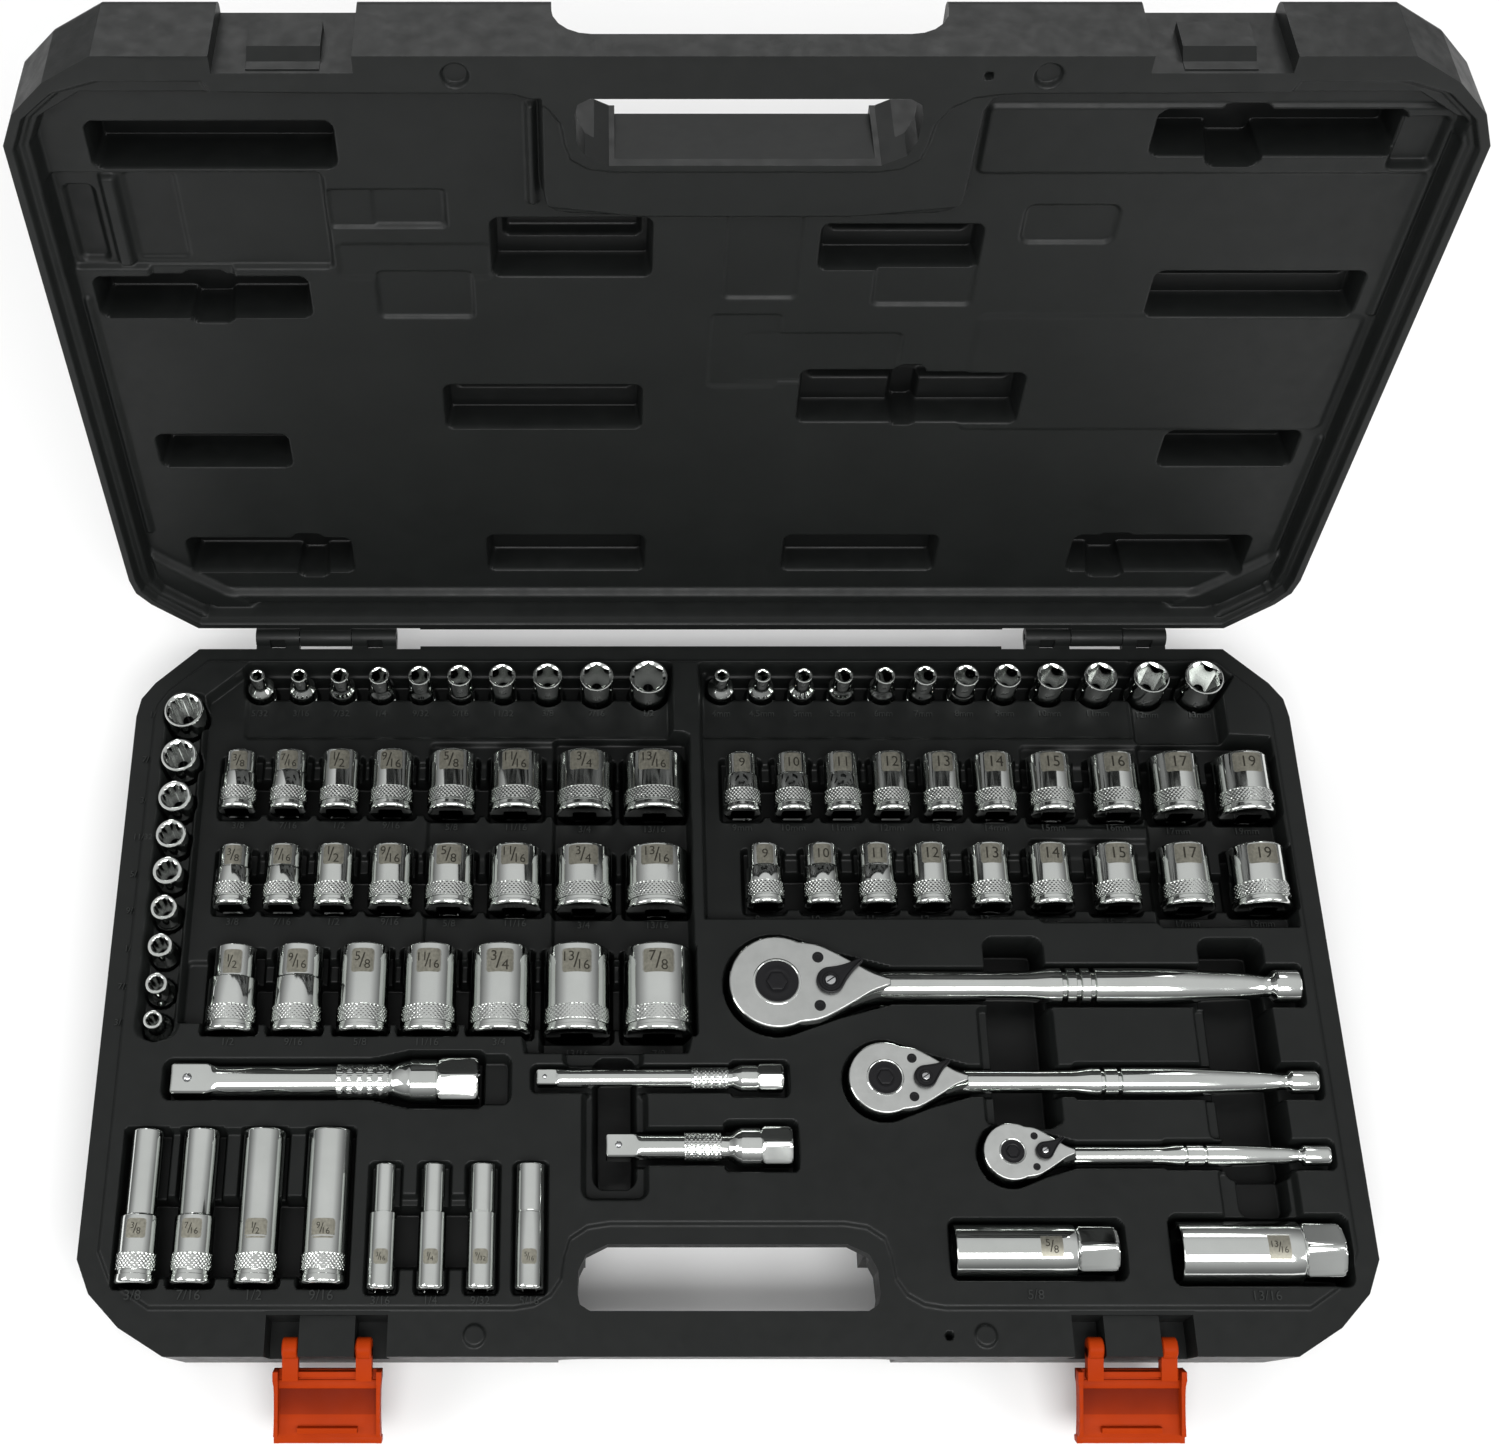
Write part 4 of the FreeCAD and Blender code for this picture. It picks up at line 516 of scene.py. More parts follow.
def lying_socket(acc, x, yc, af, nut, drv, L, sq, share, text, kind):
    ns = 192
    th = 2 * np.pi * np.arange(ns) / ns
    R, D = nut / 2, drv / 2
    depth = min(0.5 * L, L - sq * 1.25)
    rings = socket_inside(ns, af, 6, R, L, depth, min(sq, af) * 0.36)
    et = [np.zeros(ns)] * len(rings)
    stepped = nut < drv - 0.6
    up = np.abs(np.mod(th + math.pi / 2 + math.pi, 2 * np.pi) - math.pi)    # angle from the top line (local -y)

    def ring(r, z, e=None):
        rings.append((r, z))
        et.append(np.zeros(ns) if e is None else e)

    # field of the etched size mark: (from nut end, to, half width), on the nut part or the drive part
    if kind == "mid":
        f0, f1, half = 0.035 * L, 0.36 * L, 0.27 * nut
    elif kind == "half":
        f0, f1, half = 2.8, 13.3, 0.23 * nut
    elif kind == "deep":
        f0, f1, half = 36.8, 44.6, 0.26 * drv
    else:
        f0, f1, half = 34.5, 40.5, 0.27 * drv
    zs = L * share if stepped else None
    if kind == "deep":
        zs = L - 35.0 if stepped else None
    if kind == "small":
        zs = L - 19.6
    fr = R if f1 <= (L - zs if zs else L) + 0.1 else D
    cr = min(1.3, half * 0.5)
    steps = [0.0, 0.08, 0.22, 0.45, 0.75, 1.0]
    marks = {f0 - 0.02: 0.0, f1 + 0.02: 0.0}
    for w in steps:
        off = half - cr + cr * math.sqrt(max(0.0, 1 - (1 - w) ** 2))
        marks[f0 + w * cr] = off
        marks[f1 - w * cr] = off

    def body(r, z_hi, z_lo):
        """Plain length with extra rings at the edges of the size mark."""
        pts = {z_hi: 0.0, z_lo: 0.0}
        pts.update({L - m: w for m, w in marks.items() if z_lo < L - m < z_hi})
        for z in sorted(pts, reverse=True):
            ring(r, z, np.clip((pts[z] - up * fr) / 0.12 + 0.5, 0, 1) if pts[z] > 0 else None)

    knurled = kind in ("mid", "half", "deep")
    k_hi = {"mid": L - 0.640 * L, "half": L - 0.715 * L, "deep": L - 50.3}.get(kind, 0)
    k_lo = {"mid": L - 0.845 * L, "half": L - 0.875 * L, "deep": L - 56.2}.get(kind, 0)
    B = D if knurled is False else D - 0.30
    if stepped or kind == "small":
        rn = R
        if kind == "small":
            body(rn, L - 0.6, zs + 0.55)
            ring(rn - 0.22, zs + 0.5)
            ring(rn - 0.22, zs + 0.12)
            ring(min(rn, D) + (0.0 if R > D - 0.3 else 0.35 * (D - rn)), zs + 0.0)
            body(D, zs - 0.25, 2.4)
        else:
            body(rn, L - 0.6, zs + 0.7)
            ring(rn + 0.15 * (B - rn), zs + 0.35)
            ring(B - 0.25, zs + 0.05)
            ring(B - 0.05, zs - 0.2)
            body(B, zs - 0.35, k_hi + 0.75)
    else:
        body(R - 0.1 if R > B else R, L - 0.6, L * 0.55 if kind != "deep" else L * 0.30)
        body(B, (L * 0.545 if kind != "deep" else L * 0.295), k_hi + 0.75)
    if knurled:
        ring(B, k_hi + 0.62)
        ring(D + 0.02, k_hi + 0.50)
        ring(D + 0.02, k_hi + 0.12)
        ring(D - 0.16, k_hi)
        rows = 20
        per = max(16, int(round(2 * math.pi * D / 1.85)))
        for i in range(rows + 1):
            z = k_hi + (k_lo - k_hi) * i / rows
            u = per * th / (2 * np.pi) + (k_hi - z) / 1.85
            w = per * th / (2 * np.pi) - (k_hi - z) / 1.85
            tri = np.minimum(np.abs(2 * (u % 1) - 1), np.abs(2 * (w % 1) - 1))
            ring(D - 0.24 + 0.27 * np.minimum(1.0, 1.5 * tri), z)
        ring(D - 0.16, k_lo - 0.05)
        ring(D + 0.0, k_lo - 0.15)
        ring(D + 0.0, k_lo - 0.45)
        ring(D - 0.55, k_lo - 0.60)
        g1 = k_lo - 0.60
        g2 = max(2.1, g1 - 1.35)
        ring(D - 0.55, g2)
        ring(D - 0.12, g2 - 0.25)
        ring(D - 0.10, g2 - 0.5)
    deep = IN_PAINTED_SHADE + [0.0] * (len(rings) - len(IN_PAINTED_SHADE)) + END_PAINTED_SHADE
    end = drive_end(ns, D - 0.10 if knurled else D, sq, sq * 1.15)
    rings += end
    et += [np.zeros(ns)] * len(end)
    z0 = ZR + CREST - D
    xf = xform((x, yc - L / 2, z0), ALONG_Y)
    lathe(acc, rings, ns, xf, 0, et, True, True, deep)
    size = {"mid": min(7.4, 0.42 * nut), "half": min(8.4, 0.34 * nut), "deep": 4.6, "small": 3.3}[kind]
    width = label(text, size)[0]
    wid = np.ptp(width[:, 0]) if len(width) else 1.0
    size *= min(1.0, 1.72 * half / max(wid, 0.1))
    mid = L - 0.5 * (f0 + f1)
    rr = fr + (0.0 if fr == R and not (R > B and not stepped) else (-0.30 if fr == D and knurled else 0.0))
    if fr == R and not stepped:
        rr = R - 0.1 if R > B else R

    def place(px, py, h):
        a = px / rr
        r = rr + h
        return np.column_stack([r * np.sin(a), -r * np.cos(a), mid + py])

    raised_text(acc, text, round(size, 2), place, 0.06, 0.6, 1, xf)


made = []


def show(o, body, nodes_):
    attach(o, body)
    if nodes_:
        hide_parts(*nodes_)
    made.append(o)
    return o


for name, (items, texts, points) in STANDING.items():
    acc = Acc()
    for x, y, af, top, foot in items:
        standing_socket(acc, x, y, af, top, foot, points)
    show(acc.make(name + "_look", [CHROME], 30.0), name, [name])

for name, (items, texts, yc, L, sq, share) in LYING.items():
    kind = {28.0: "mid", 38.0: "half", 62.0: "deep", 50.0: "small"}[L]
    acc = Acc()
    for (x, af, nut, drv), tx in zip(items, texts):
        lying_socket(acc, x, yc, af, nut, drv, L, sq, share, tx, kind)
    show(acc.make(name + "_look", [CHROME, INKED], 30.0), name, [name])

# ------------------------------------------------------------------ ratchets


def smooth_curve(pts, n):
    """Points along a smooth curve through the given (x, r) pairs."""
    p = np.array(pts, float)
    s = np.concatenate([[0], np.cumsum(np.linalg.norm(np.diff(p, axis=0), axis=1))])
    u = np.linspace(0, s[-1], n)
    m = np.gradient(p, s, axis=0)
    i = np.clip(np.searchsorted(s, u, side="right") - 1, 0, len(s) - 2)
    h = (s[i + 1] - s[i])[:, None]
    w = ((u - s[i]) / (s[i + 1] - s[i]))[:, None]
    h00, h10 = 2 * w ** 3 - 3 * w ** 2 + 1, w ** 3 - 2 * w ** 2 + w
    h01, h11 = -2 * w ** 3 + 3 * w ** 2, w ** 3 - w ** 2
    return h00 * p[i] + h10 * h * m[i] + h01 * p[i + 1] + h11 * h * m[i + 1]


def head_loop(R, xs, ws, n=96):
    """Anticlockwise outline symmetric about x: a round end at the left, then half widths ws at xs."""
    a0 = math.acos(min(1.0, xs[0] / R))
    arc = np.linspace(math.pi, a0, n // 3)
    up = [(R * math.cos(a), R * math.sin(a)) for a in arc[1:]]
    side = smooth_curve([up[-1]] + list(zip(xs[1:], ws[1:])), n // 3)
    up += [tuple(p) for p in side[1:]]
    low = [(x, -y) for x, y in up]
    return np.array([(-R, 0.0)] + low + [(x, y) for x, y in reversed(up)])


for k, q in RATCHETS.items():
    p = k + "_ratchet"
    R, T, c = q["R"], q["T"], q["cover"]
    z0 = ZR + q["flat"]
    xf = xform((q["x"], q["y"], z0))
    sc = R / 20.4
    vee = q["vee"]
    sh = q["shaft"]
    xs = [0.42 * R, 0.42 * R + 0.26 * (vee - 0.42 * R), 0.42 * R + 0.52 * (vee - 0.42 * R), 0.42 * R + 0.78 * (vee - 0.42 * R), vee + 2.0, vee + 8.0 * sc]
    w0 = R * math.sin(math.acos(0.42))
    ws = [w0, 0.835 * R, 0.64 * R, 0.455 * R, max(sh * 1.04, 0.335 * R), sh * 1.0]
    body_loop = head_loop(R, xs, ws)
    tip = vee + 6.5 * sc
    plate_loop = head_loop(R - 0.75 * sc, [0.44 * R, 0.44 * R + 0.26 * (vee - 0.44 * R), 0.44 * R + 0.50 * (vee - 0.44 * R), 0.44 * R + 0.72 * (vee - 0.44 * R), vee * 0.96, tip - 1.0],
                           [w0 * 0.955, 0.79 * R, 0.605 * R, 0.40 * R, 0.185 * R, 0.055 * R])
    # forged body and handle
    acc = Acc()
    zb = -T
    loops = [grown(body_loop, -1.6 * sc), grown(body_loop, -0.5 * sc), body_loop, body_loop, grown(body_loop, -0.12 * sc), grown(plate_loop, 0.30 * sc), plate_loop]
    xn = np.clip((body_loop[:, 0] - 0.6 * vee) / (0.4 * vee + 8 * sc), 0, 1)
    rise = (q["flat"] - sh * 0.9 + T - 2 * sh) * 0.0
    floor_z = -q["flat"] - sh * 0.92
    zb_arr = zb + (floor_z - zb) * (xn * xn * (3 - 2 * xn)) if floor_z > zb else np.full(len(xn), zb)
    side_top = -c - 0.5 * sc
    side_arr = side_top + (-q["flat"] + 0.2 - side_top) * (xn * xn * (3 - 2 * xn))
    zs = [zb_arr, zb_arr + 0.6 * sc, zb_arr + 1.8 * sc, side_arr - 0.6 * sc, side_arr, np.full(len(xn), -0.55 * sc), np.full(len(xn), -0.30 * sc)]
    loft(acc, loops, zs, 0, xf, True, True, (0.0, 0.0))
    g, kx, kr, end = q["grip"], q["knob"][0], q["knob"][1], q["end"]
    r0 = q["rings"][0]
    prof = [(vee - 9.0 * sc, sh * 0.72), (vee - 2.0 * sc, sh * 0.88), (vee + 5 * sc, sh * 0.985), (vee + 16 * sc, sh)]
    prof += [(r0 - 22 * sc, sh * 1.0), (r0 - 14 * sc, sh * 1.03), (r0 - 9 * sc, g * 0.935), (r0 - 6 * sc, g * 0.985)]
    line = [tuple(v) for v in smooth_curve(prof, 46)]
    for x in q["rings"]:
        line += [(x - 1.30 * sc, g * 0.99), (x - 1.05 * sc, g * 0.955), (x - 0.70 * sc, g * 0.81), (x + 0.70 * sc, g * 0.81), (x + 1.05 * sc, g * 0.955), (x + 1.30 * sc, g * 0.99)]
    rl = q["rings"][-1]
    mid = rl + 0.42 * (kx - rl)
    tail = [(rl + 3.0 * sc, g * 0.995), (rl + 0.2 * (kx - rl), g * 1.0), (mid, g * 0.97), (rl + 0.66 * (kx - rl), g * 0.84), (kx - 8 * sc, kr * 0.74), (kx - 4.2 * sc, kr * 0.64),
            (kx - 3.0 * sc, kr * 0.66)]
    line += [tuple(v) for v in smooth_curve(tail, 46)]
    line += [(kx - 2.4 * sc, kr * 0.72), (kx - 1.2 * sc, kr * 0.93), (kx - 0.4 * sc, kr * 0.985), (kx + 0.6 * sc, kr), (end - 1.3, kr * 1.0), (end - 0.55, kr * 0.985), (end - 0.15, kr * 0.93), (end, kr * 0.84),
             (end - 0.02, kr * 0.4)]
    lathe(acc, [(r, x) for x, r in reversed(line)], 112, xf @ xform((0, 0, -q["flat"]), ALONG_X))
    show(acc.make(p + "_body_look", [CHROME], 30.0), p, [p + "_body"])
    # cover plate with the raised lip round the drive
    acc = Acc()
    loft(acc, [plate_loop, plate_loop, grown(plate_loop, -0.16 * sc), grown(plate_loop, -0.42 * sc)], [-0.9 * sc, -0.16 * sc, -0.04 * sc, 0.0], 0, xf, True, False, (0.0, 0.0))
    d = q["disc"]
    lathe(acc, [(d + 0.05, -0.3), (d + 0.05, 0.10), (d + 0.22, 0.22), (d + 0.55 * sc, 0.24), (d + 0.95 * sc, 0.05), (d + 1.0 * sc, -0.1)], 96, xf, 1, None, False, False)
    show(acc.make(p + "_cover_look", [SATIN, CHROME], 30.0), p, [p + "_cover"])
    # drive: dark top disc with a dished ring, and the square below
    acc = Acc()
    bt = q["button"]
    lathe(acc, [(0.3, 0.10), (bt * 0.6, 0.10), (bt + 0.12, 0.12), (bt + 0.45, 0.30), (d * 0.62, 0.34), (d * 0.70, 0.18), (d * 0.88, 0.16), (d * 0.95, 0.30), (d - 0.12, 0.18), (d - 0.02, -0.25), (d - 0.02, -0.9)],
          96, xf, 0, None, True, False)
    sq = q["sq"]
    th4 = 2 * np.pi * np.arange(96) / 96
    rs = np.minimum(ngon_r(th4, sq / 2, 4, 0.0), sq / 2 * 1.34)
    lathe(acc, [(sq * 0.74, -T + 0.05), (sq * 0.74, -T - 0.9), (sq * 0.66, -T - 1.3), (rs, -T - 1.31), (rs, -T - q["square"] + 0.9), (rs - 0.7, -T - q["square"] + 0.1), (rs - 0.9, -T - q["square"])],
          96, xf, 1, None, True, True)
    show(acc.make(p + "_drive_look", [OXIDE, CHROME], 30.0), p + "_drive", [p + "_drive"])
    # hexagonal release button
    acc = Acc()
    th6 = 2 * np.pi * np.arange(96) / 96
    r6 = np.minimum(ngon_r(th6, bt * 0.866, 6, math.pi / 6), bt * 0.985)
    lathe(acc, [(r6 * 0.30, 1.02), (r6 * 0.72, 1.04), (r6 * 0.90, 0.98), (r6 * 0.985, 0.80), (r6, 0.55), (r6, -1.5 * sc)], 96, xf, 0, None, True, True)
    show(acc.make(p + "_button_look", [OXIDE], 30.0), p + "_button", [p + "_button"])
    # reversing lever with its bright pivot
    acc = Acc()
    hub, tp = q["hub"], q["tip"]
    a = np.linspace(math.radians(62), math.radians(298), 44)
    hubp = [(hub * math.cos(v), hub * math.sin(v)) for v in a]
    wt = hub * 0.20
    b = np.linspace(math.radians(-80), math.radians(80), 12)
    tipp = [(tp - wt + wt * math.cos(v), wt * math.sin(v)) for v in b]
    low = smooth_curve([hubp[-1], (hub * 1.05, -hub * 0.60), (tp * 0.62, -hub * 0.36), tipp[0]], 14)
    upc = smooth_curve([tipp[-1], (tp * 0.62, hub * 0.36), (hub * 1.05, hub * 0.60), hubp[0]], 14)
    loop = np.array(hubp + [tuple(v) for v in low[1:-1]] + tipp + [tuple(v) for v in upc[1:-1]])
    ca, sa = math.cos(math.radians(34)), math.sin(math.radians(34))
    lxf = xf @ xform((q["lever"], 0, 0), [(ca, sa, 0), (-sa, ca, 0), (0, 0, 1)])
    loft(acc, [loop, loop, grown(loop, -0.22 * sc), grown(loop, -0.75 * sc), grown(loop, -1.05 * sc), grown(loop, -1.25 * sc)],
         [0.25, 1.45, 1.95, 2.25, 2.05, 1.75], 0, lxf, True, True, (0.0, 0.0))
    lathe(acc, [(0.2, 2.62), (1.5 * sc, 2.60), (2.05 * sc, 2.45), (2.3 * sc, 2.1), (2.3 * sc, 1.5)], 48, lxf, 1, None, True, True)
    lathe(acc, [(2.7 * sc, 1.6), (2.75 * sc, 2.12), (3.0 * sc, 2.2), (3.4 * sc, 2.1), (3.6 * sc, 1.7)], 48, lxf, 0, None, False, False)
    cut = np.array([(-1.9 * sc, -0.28 * sc), (1.9 * sc, -0.28 * sc), (1.9 * sc, 0.28 * sc), (-1.9 * sc, 0.28 * sc)])
    loft(acc, [cut, cut], [2.3, 2.66], 0, lxf, True, True, (0.0, 0.0))
    show(acc.make(p + "_lever_look", [OXIDE, STEEL], 30.0), p + "_lever", [p + "_lever"])
    # cover screws with hexagon sockets
    acc = Acc()
    sr = q["sr"]
    r6 = np.minimum(ngon_r(th6, sr * 0.42, 6), sr * 0.5)
    for s in (-1, 1):
        sxf = xf @ xform((q["screw"][0], s * q["screw"][1], 0))
        lathe(acc, [(0.1, 0.05), (r6 * 0.98, 0.05), (r6, 0.24), (r6 + 0.12, 0.31), (sr * 0.82, 0.33), (sr * 0.95, 0.26), (sr, 0.10), (sr, -0.6)], 96, sxf, 0, None, True, False)
    show(acc.make(p + "_screws_look", [OXIDE], 30.0), p, [p + "_screws"])

# ------------------------------------------------------------------ extension bars: square end to -X, hexagon head to +X


def extension(name, x0, x1, y, z, sq, shaft, knurl, head, neck, head_len, kn):
    acc = Acc()
    ns = 192
    th = 2 * np.pi * np.arange(ns) / ns
    ln = x1 - x0
    xf = xform((x0, y, z), ALONG_X)
    rs = np.minimum(ngon_r(th, sq / 2, 4, 0.0), sq / 2 * 1.33)
    rings = [(rs * 0.55, 0.0), (rs - 0.95, 0.0), (rs - 0.45, 0.22), (rs - 0.12, 0.62), (rs, 1.1), (rs, sq * 1.12)]
    for i in range(1, 7):
        w = i / 6.0
        w = w * w * (3 - 2 * w)
        rings.append((rs * (1 - w) + shaft * w, sq * 1.12 + (sq * 0.42) * i / 6.0))
    rings += [(shaft, kn[0] - 0.5), (shaft, kn[0] - 0.12), (knurl - 0.05, kn[0])]
    rows = 30
    per = max(14, int(round(2 * math.pi * knurl / 1.7)))
    for i in range(rows + 1):
        zz = kn[0] + 0.15 + (kn[1] - kn[0] - 0.3) * i / rows
        u = per * th / (2 * np.pi) + zz / 1.7
        w = per * th / (2 * np.pi) - zz / 1.7
        tri = np.minimum(np.abs(2 * (u % 1) - 1), np.abs(2 * (w % 1) - 1))
        rings.append((knurl - 0.22 + 0.28 * np.minimum(1.0, 1.5 * tri), zz))
    rings += [(knurl - 0.05, kn[1]), (shaft, kn[1] + 0.12)]
    h0 = ln - head_len
    c = head * 0.9
    for v in smooth_curve([(h0 - neck, shaft), (h0 - neck * 0.78, shaft * 1.12), (h0 - neck * 0.35, shaft + (c - shaft) * 0.70), (h0 - neck * 0.05, c * 0.97), (h0 + 0.3, c)], 12):
        rings.append((v[1], v[0]))
    h1 = h0 + head_len * 0.40
    r6 = np.minimum(ngon_r(th, head * 0.866, 6, math.pi / 6 + math.pi / 6 * 0), head * 0.985)
    r6 = np.minimum(ngon_r(th, head * 0.866, 6, 0.0), head * 0.985)
    rings += [(c, h0 + 0.6), (c, h1 - 0.5), (c * 0.93, h1 - 0.35), (c * 0.93, h1 - 0.05), (np.minimum(r6, c * 0.97), h1 + 0.05), (np.minimum(r6, c * 1.02), h1 + 0.5), (r6, h1 + 1.6 * head / 10),
              (r6, ln - 1.9 * head / 10), (np.minimum(r6, head * 0.945), ln - 0.75 * head / 10), (np.minimum(r6, head * 0.90) - 0.15, ln - 0.1), (np.minimum(r6, head * 0.86) - 0.3, ln)]
    rq = np.minimum(ngon_r(th, sq / 2 + 0.1, 4, 0.0), sq / 2 * 1.32)
    rings += [(np.minimum(rq + 0.5, head * 0.80), ln), (rq, ln - 0.6), (rq * 0.999, ln - sq * 1.2), (0.6, ln - sq * 1.22)]
    lathe(acc, list(reversed(rings)), ns, xf)
    show(acc.make(name + "_look", [CHROME], 30.0), name, [name])


extension("long_extension", -228.2, -101.2, -45.8, ZR + CREST - 10.3, 12.7, 6.6, 7.3, 10.3, 8.0, 28.0, (68.5, 90.0))
extension("mid_extension", -48.6, 27.4, -73.7, ZR + CREST - 9.0, 9.525, 5.2, 6.1, 9.0, 5.0, 21.0, (32.0, 47.0))
extension("small_extension", -77.2, 24.6, -45.6, ZR + CREST - 6.2, 6.35, 3.9, 4.6, 6.2, 3.5, 17.5, (64.0, 79.0))

# ------------------------------------------------------------------ spark plug sockets: open end to -X, hexagon end to +X


def plug_socket(name, x0, x1, y, od, af, hexaf, sq, text):
    acc = Acc()
    ns = 168
    th = 2 * np.pi * np.arange(ns) / ns
    L = x1 - x0
    R = od / 2
    hl = 16.5
    up = np.abs(np.mod(th - math.pi / 2 + math.pi, 2 * np.pi) - math.pi)
    rings = socket_inside(ns, af, 6, R, L, 18.0, af / 2 * 0.9)
    rings[0] = (af / 2 * 0.9, hl + 4.0)
    et = [np.zeros(ns)] * len(rings)
    f0, f1, half = L - hl - 15.2, L - hl - 6.4, 0.20 * od
    mask = (up * R < half).astype(float)
    for zz, m in ((L - 0.6, 0), (L - f0 + 0.02, 0), (L - f0, 1), (L - f1, 1), (L - f1 - 0.02, 0), (hl + 0.9, 0)):
        rings.append((R, zz))
        et.append(mask if m else np.zeros(ns))
    hr = hexaf / math.sqrt(3.0)
    r6 = np.minimum(ngon_r(th, hexaf / 2, 6, math.pi / 6 if False else 0.0), hr * 0.985)
    tail = [(R - 0.10, hl + 0.55), (R - 0.45, hl + 0.2), (R - 0.95, hl - 0.1), (np.minimum(r6 + 0.15, R - 0.9), hl - 0.55), (r6, hl - 1.3), (r6, 2.1), (np.minimum(r6, hr * 0.95), 0.95),
            (np.minimum(r6, hr * 0.90) - 0.15, 0.25), (np.minimum(r6, hr * 0.86) - 0.3, 0.0)]
    rq = np.minimum(ngon_r(th, sq / 2, 4, 0.0), sq / 2 * 1.3)
    tail += [(np.minimum(rq + 0.5, hr * 0.82), 0.0), (rq, 0.6), (rq * 0.999, sq * 1.2), (0.7, sq * 1.22)]
    rings += tail
    et += [np.zeros(ns)] * len(tail)
    xf = xform((x1, y, ZR + CREST - R), ALONG_MX)
    lathe(acc, rings, ns, xf, 0, et)
    mid = L - 0.5 * (f0 + f1)

    def place(px, py, h):
        a = py / R
        r = R + h
        return np.column_stack([r * np.sin(-a) * -1.0 * -1.0, r * np.cos(a), mid - px])

    size = 5.4 if len(text) < 4 else 4.6
    raised_text(acc, text, size, place, 0.06, 0.6, 1, xf)
    show(acc.make(name + "_look", [CHROME, INKED], 30.0), name, [name])


plug_socket("plug_socket_small", 90.3, 155.3, -115.3, 21.0, 15.88, 17.9, 9.525, "5/8")
plug_socket("plug_socket_large", 180.1, 245.4, -115.6, 24.8, 20.64, 21.5, 12.7, "13/16")

# ------------------------------------------------------------------ moulded inner walls as soft-edged relief


def inset(pts, d):
    area = sum(pts[i][0] * pts[(i + 1) % len(pts)][1] - pts[(i + 1) % len(pts)][0] * pts[i][1] for i in range(len(pts)))
    sgn = 1.0 if area > 0 else -1.0
    out = []
    for i in range(len(pts)):
        p, q, r = pts[i - 1], pts[i], pts[(i + 1) % len(pts)]
        d1, d2 = (q[0] - p[0], q[1] - p[1]), (r[0] - q[0], r[1] - q[1])
        l1, l2 = math.hypot(*d1), math.hypot(*d2)
        n1 = (-d1[1] / l1 * sgn, d1[0] / l1 * sgn)
        n2 = (-d2[1] / l2 * sgn, d2[0] / l2 * sgn)
        k = d / (1 + n1[0] * n2[0] + n1[1] * n2[1])
        out.append((q[0] + (n1[0] + n2[0]) * k, q[1] + (n1[1] + n2[1]) * k))
    return out


def mirror_x(half):
    return list(half) + [(-x, y) for x, y in reversed(half)]


OUTLINE = mirror_x([(234.0, 156.5), (252.5, 139.0), (258.0, 131.0), (259.5, 122.0),
                    (259.5, -119.0), (253.5, -132.5), (240.5, -145.5), (222.0, -156.5)])
HOLE = [(-55.0, -139.0), (-59.0, -136.5), (-60.0, -132.0), (-59.5, -123.0), (-56.5, -117.0), (-48.0, -113.0),
        (48.0, -113.0), (56.5, -117.0), (59.5, -123.0), (60.0, -132.0), (59.0, -136.5), (55.0, -139.0)]
PANEL = mirror_x([(229.0, 150.0), (246.0, 134.5), (250.2, 127.5), (251.0, 121.0),
                  (251.0, -116.0), (245.5, -127.5), (229.0, -138.0), (85.0, -138.0),
                  (77.0, -136.7), (70.5, -133.0), (66.5, -127.0), (65.2, -118.0),
                  (63.0, -111.0), (56.0, -106.4), (47.0, -105.0)])


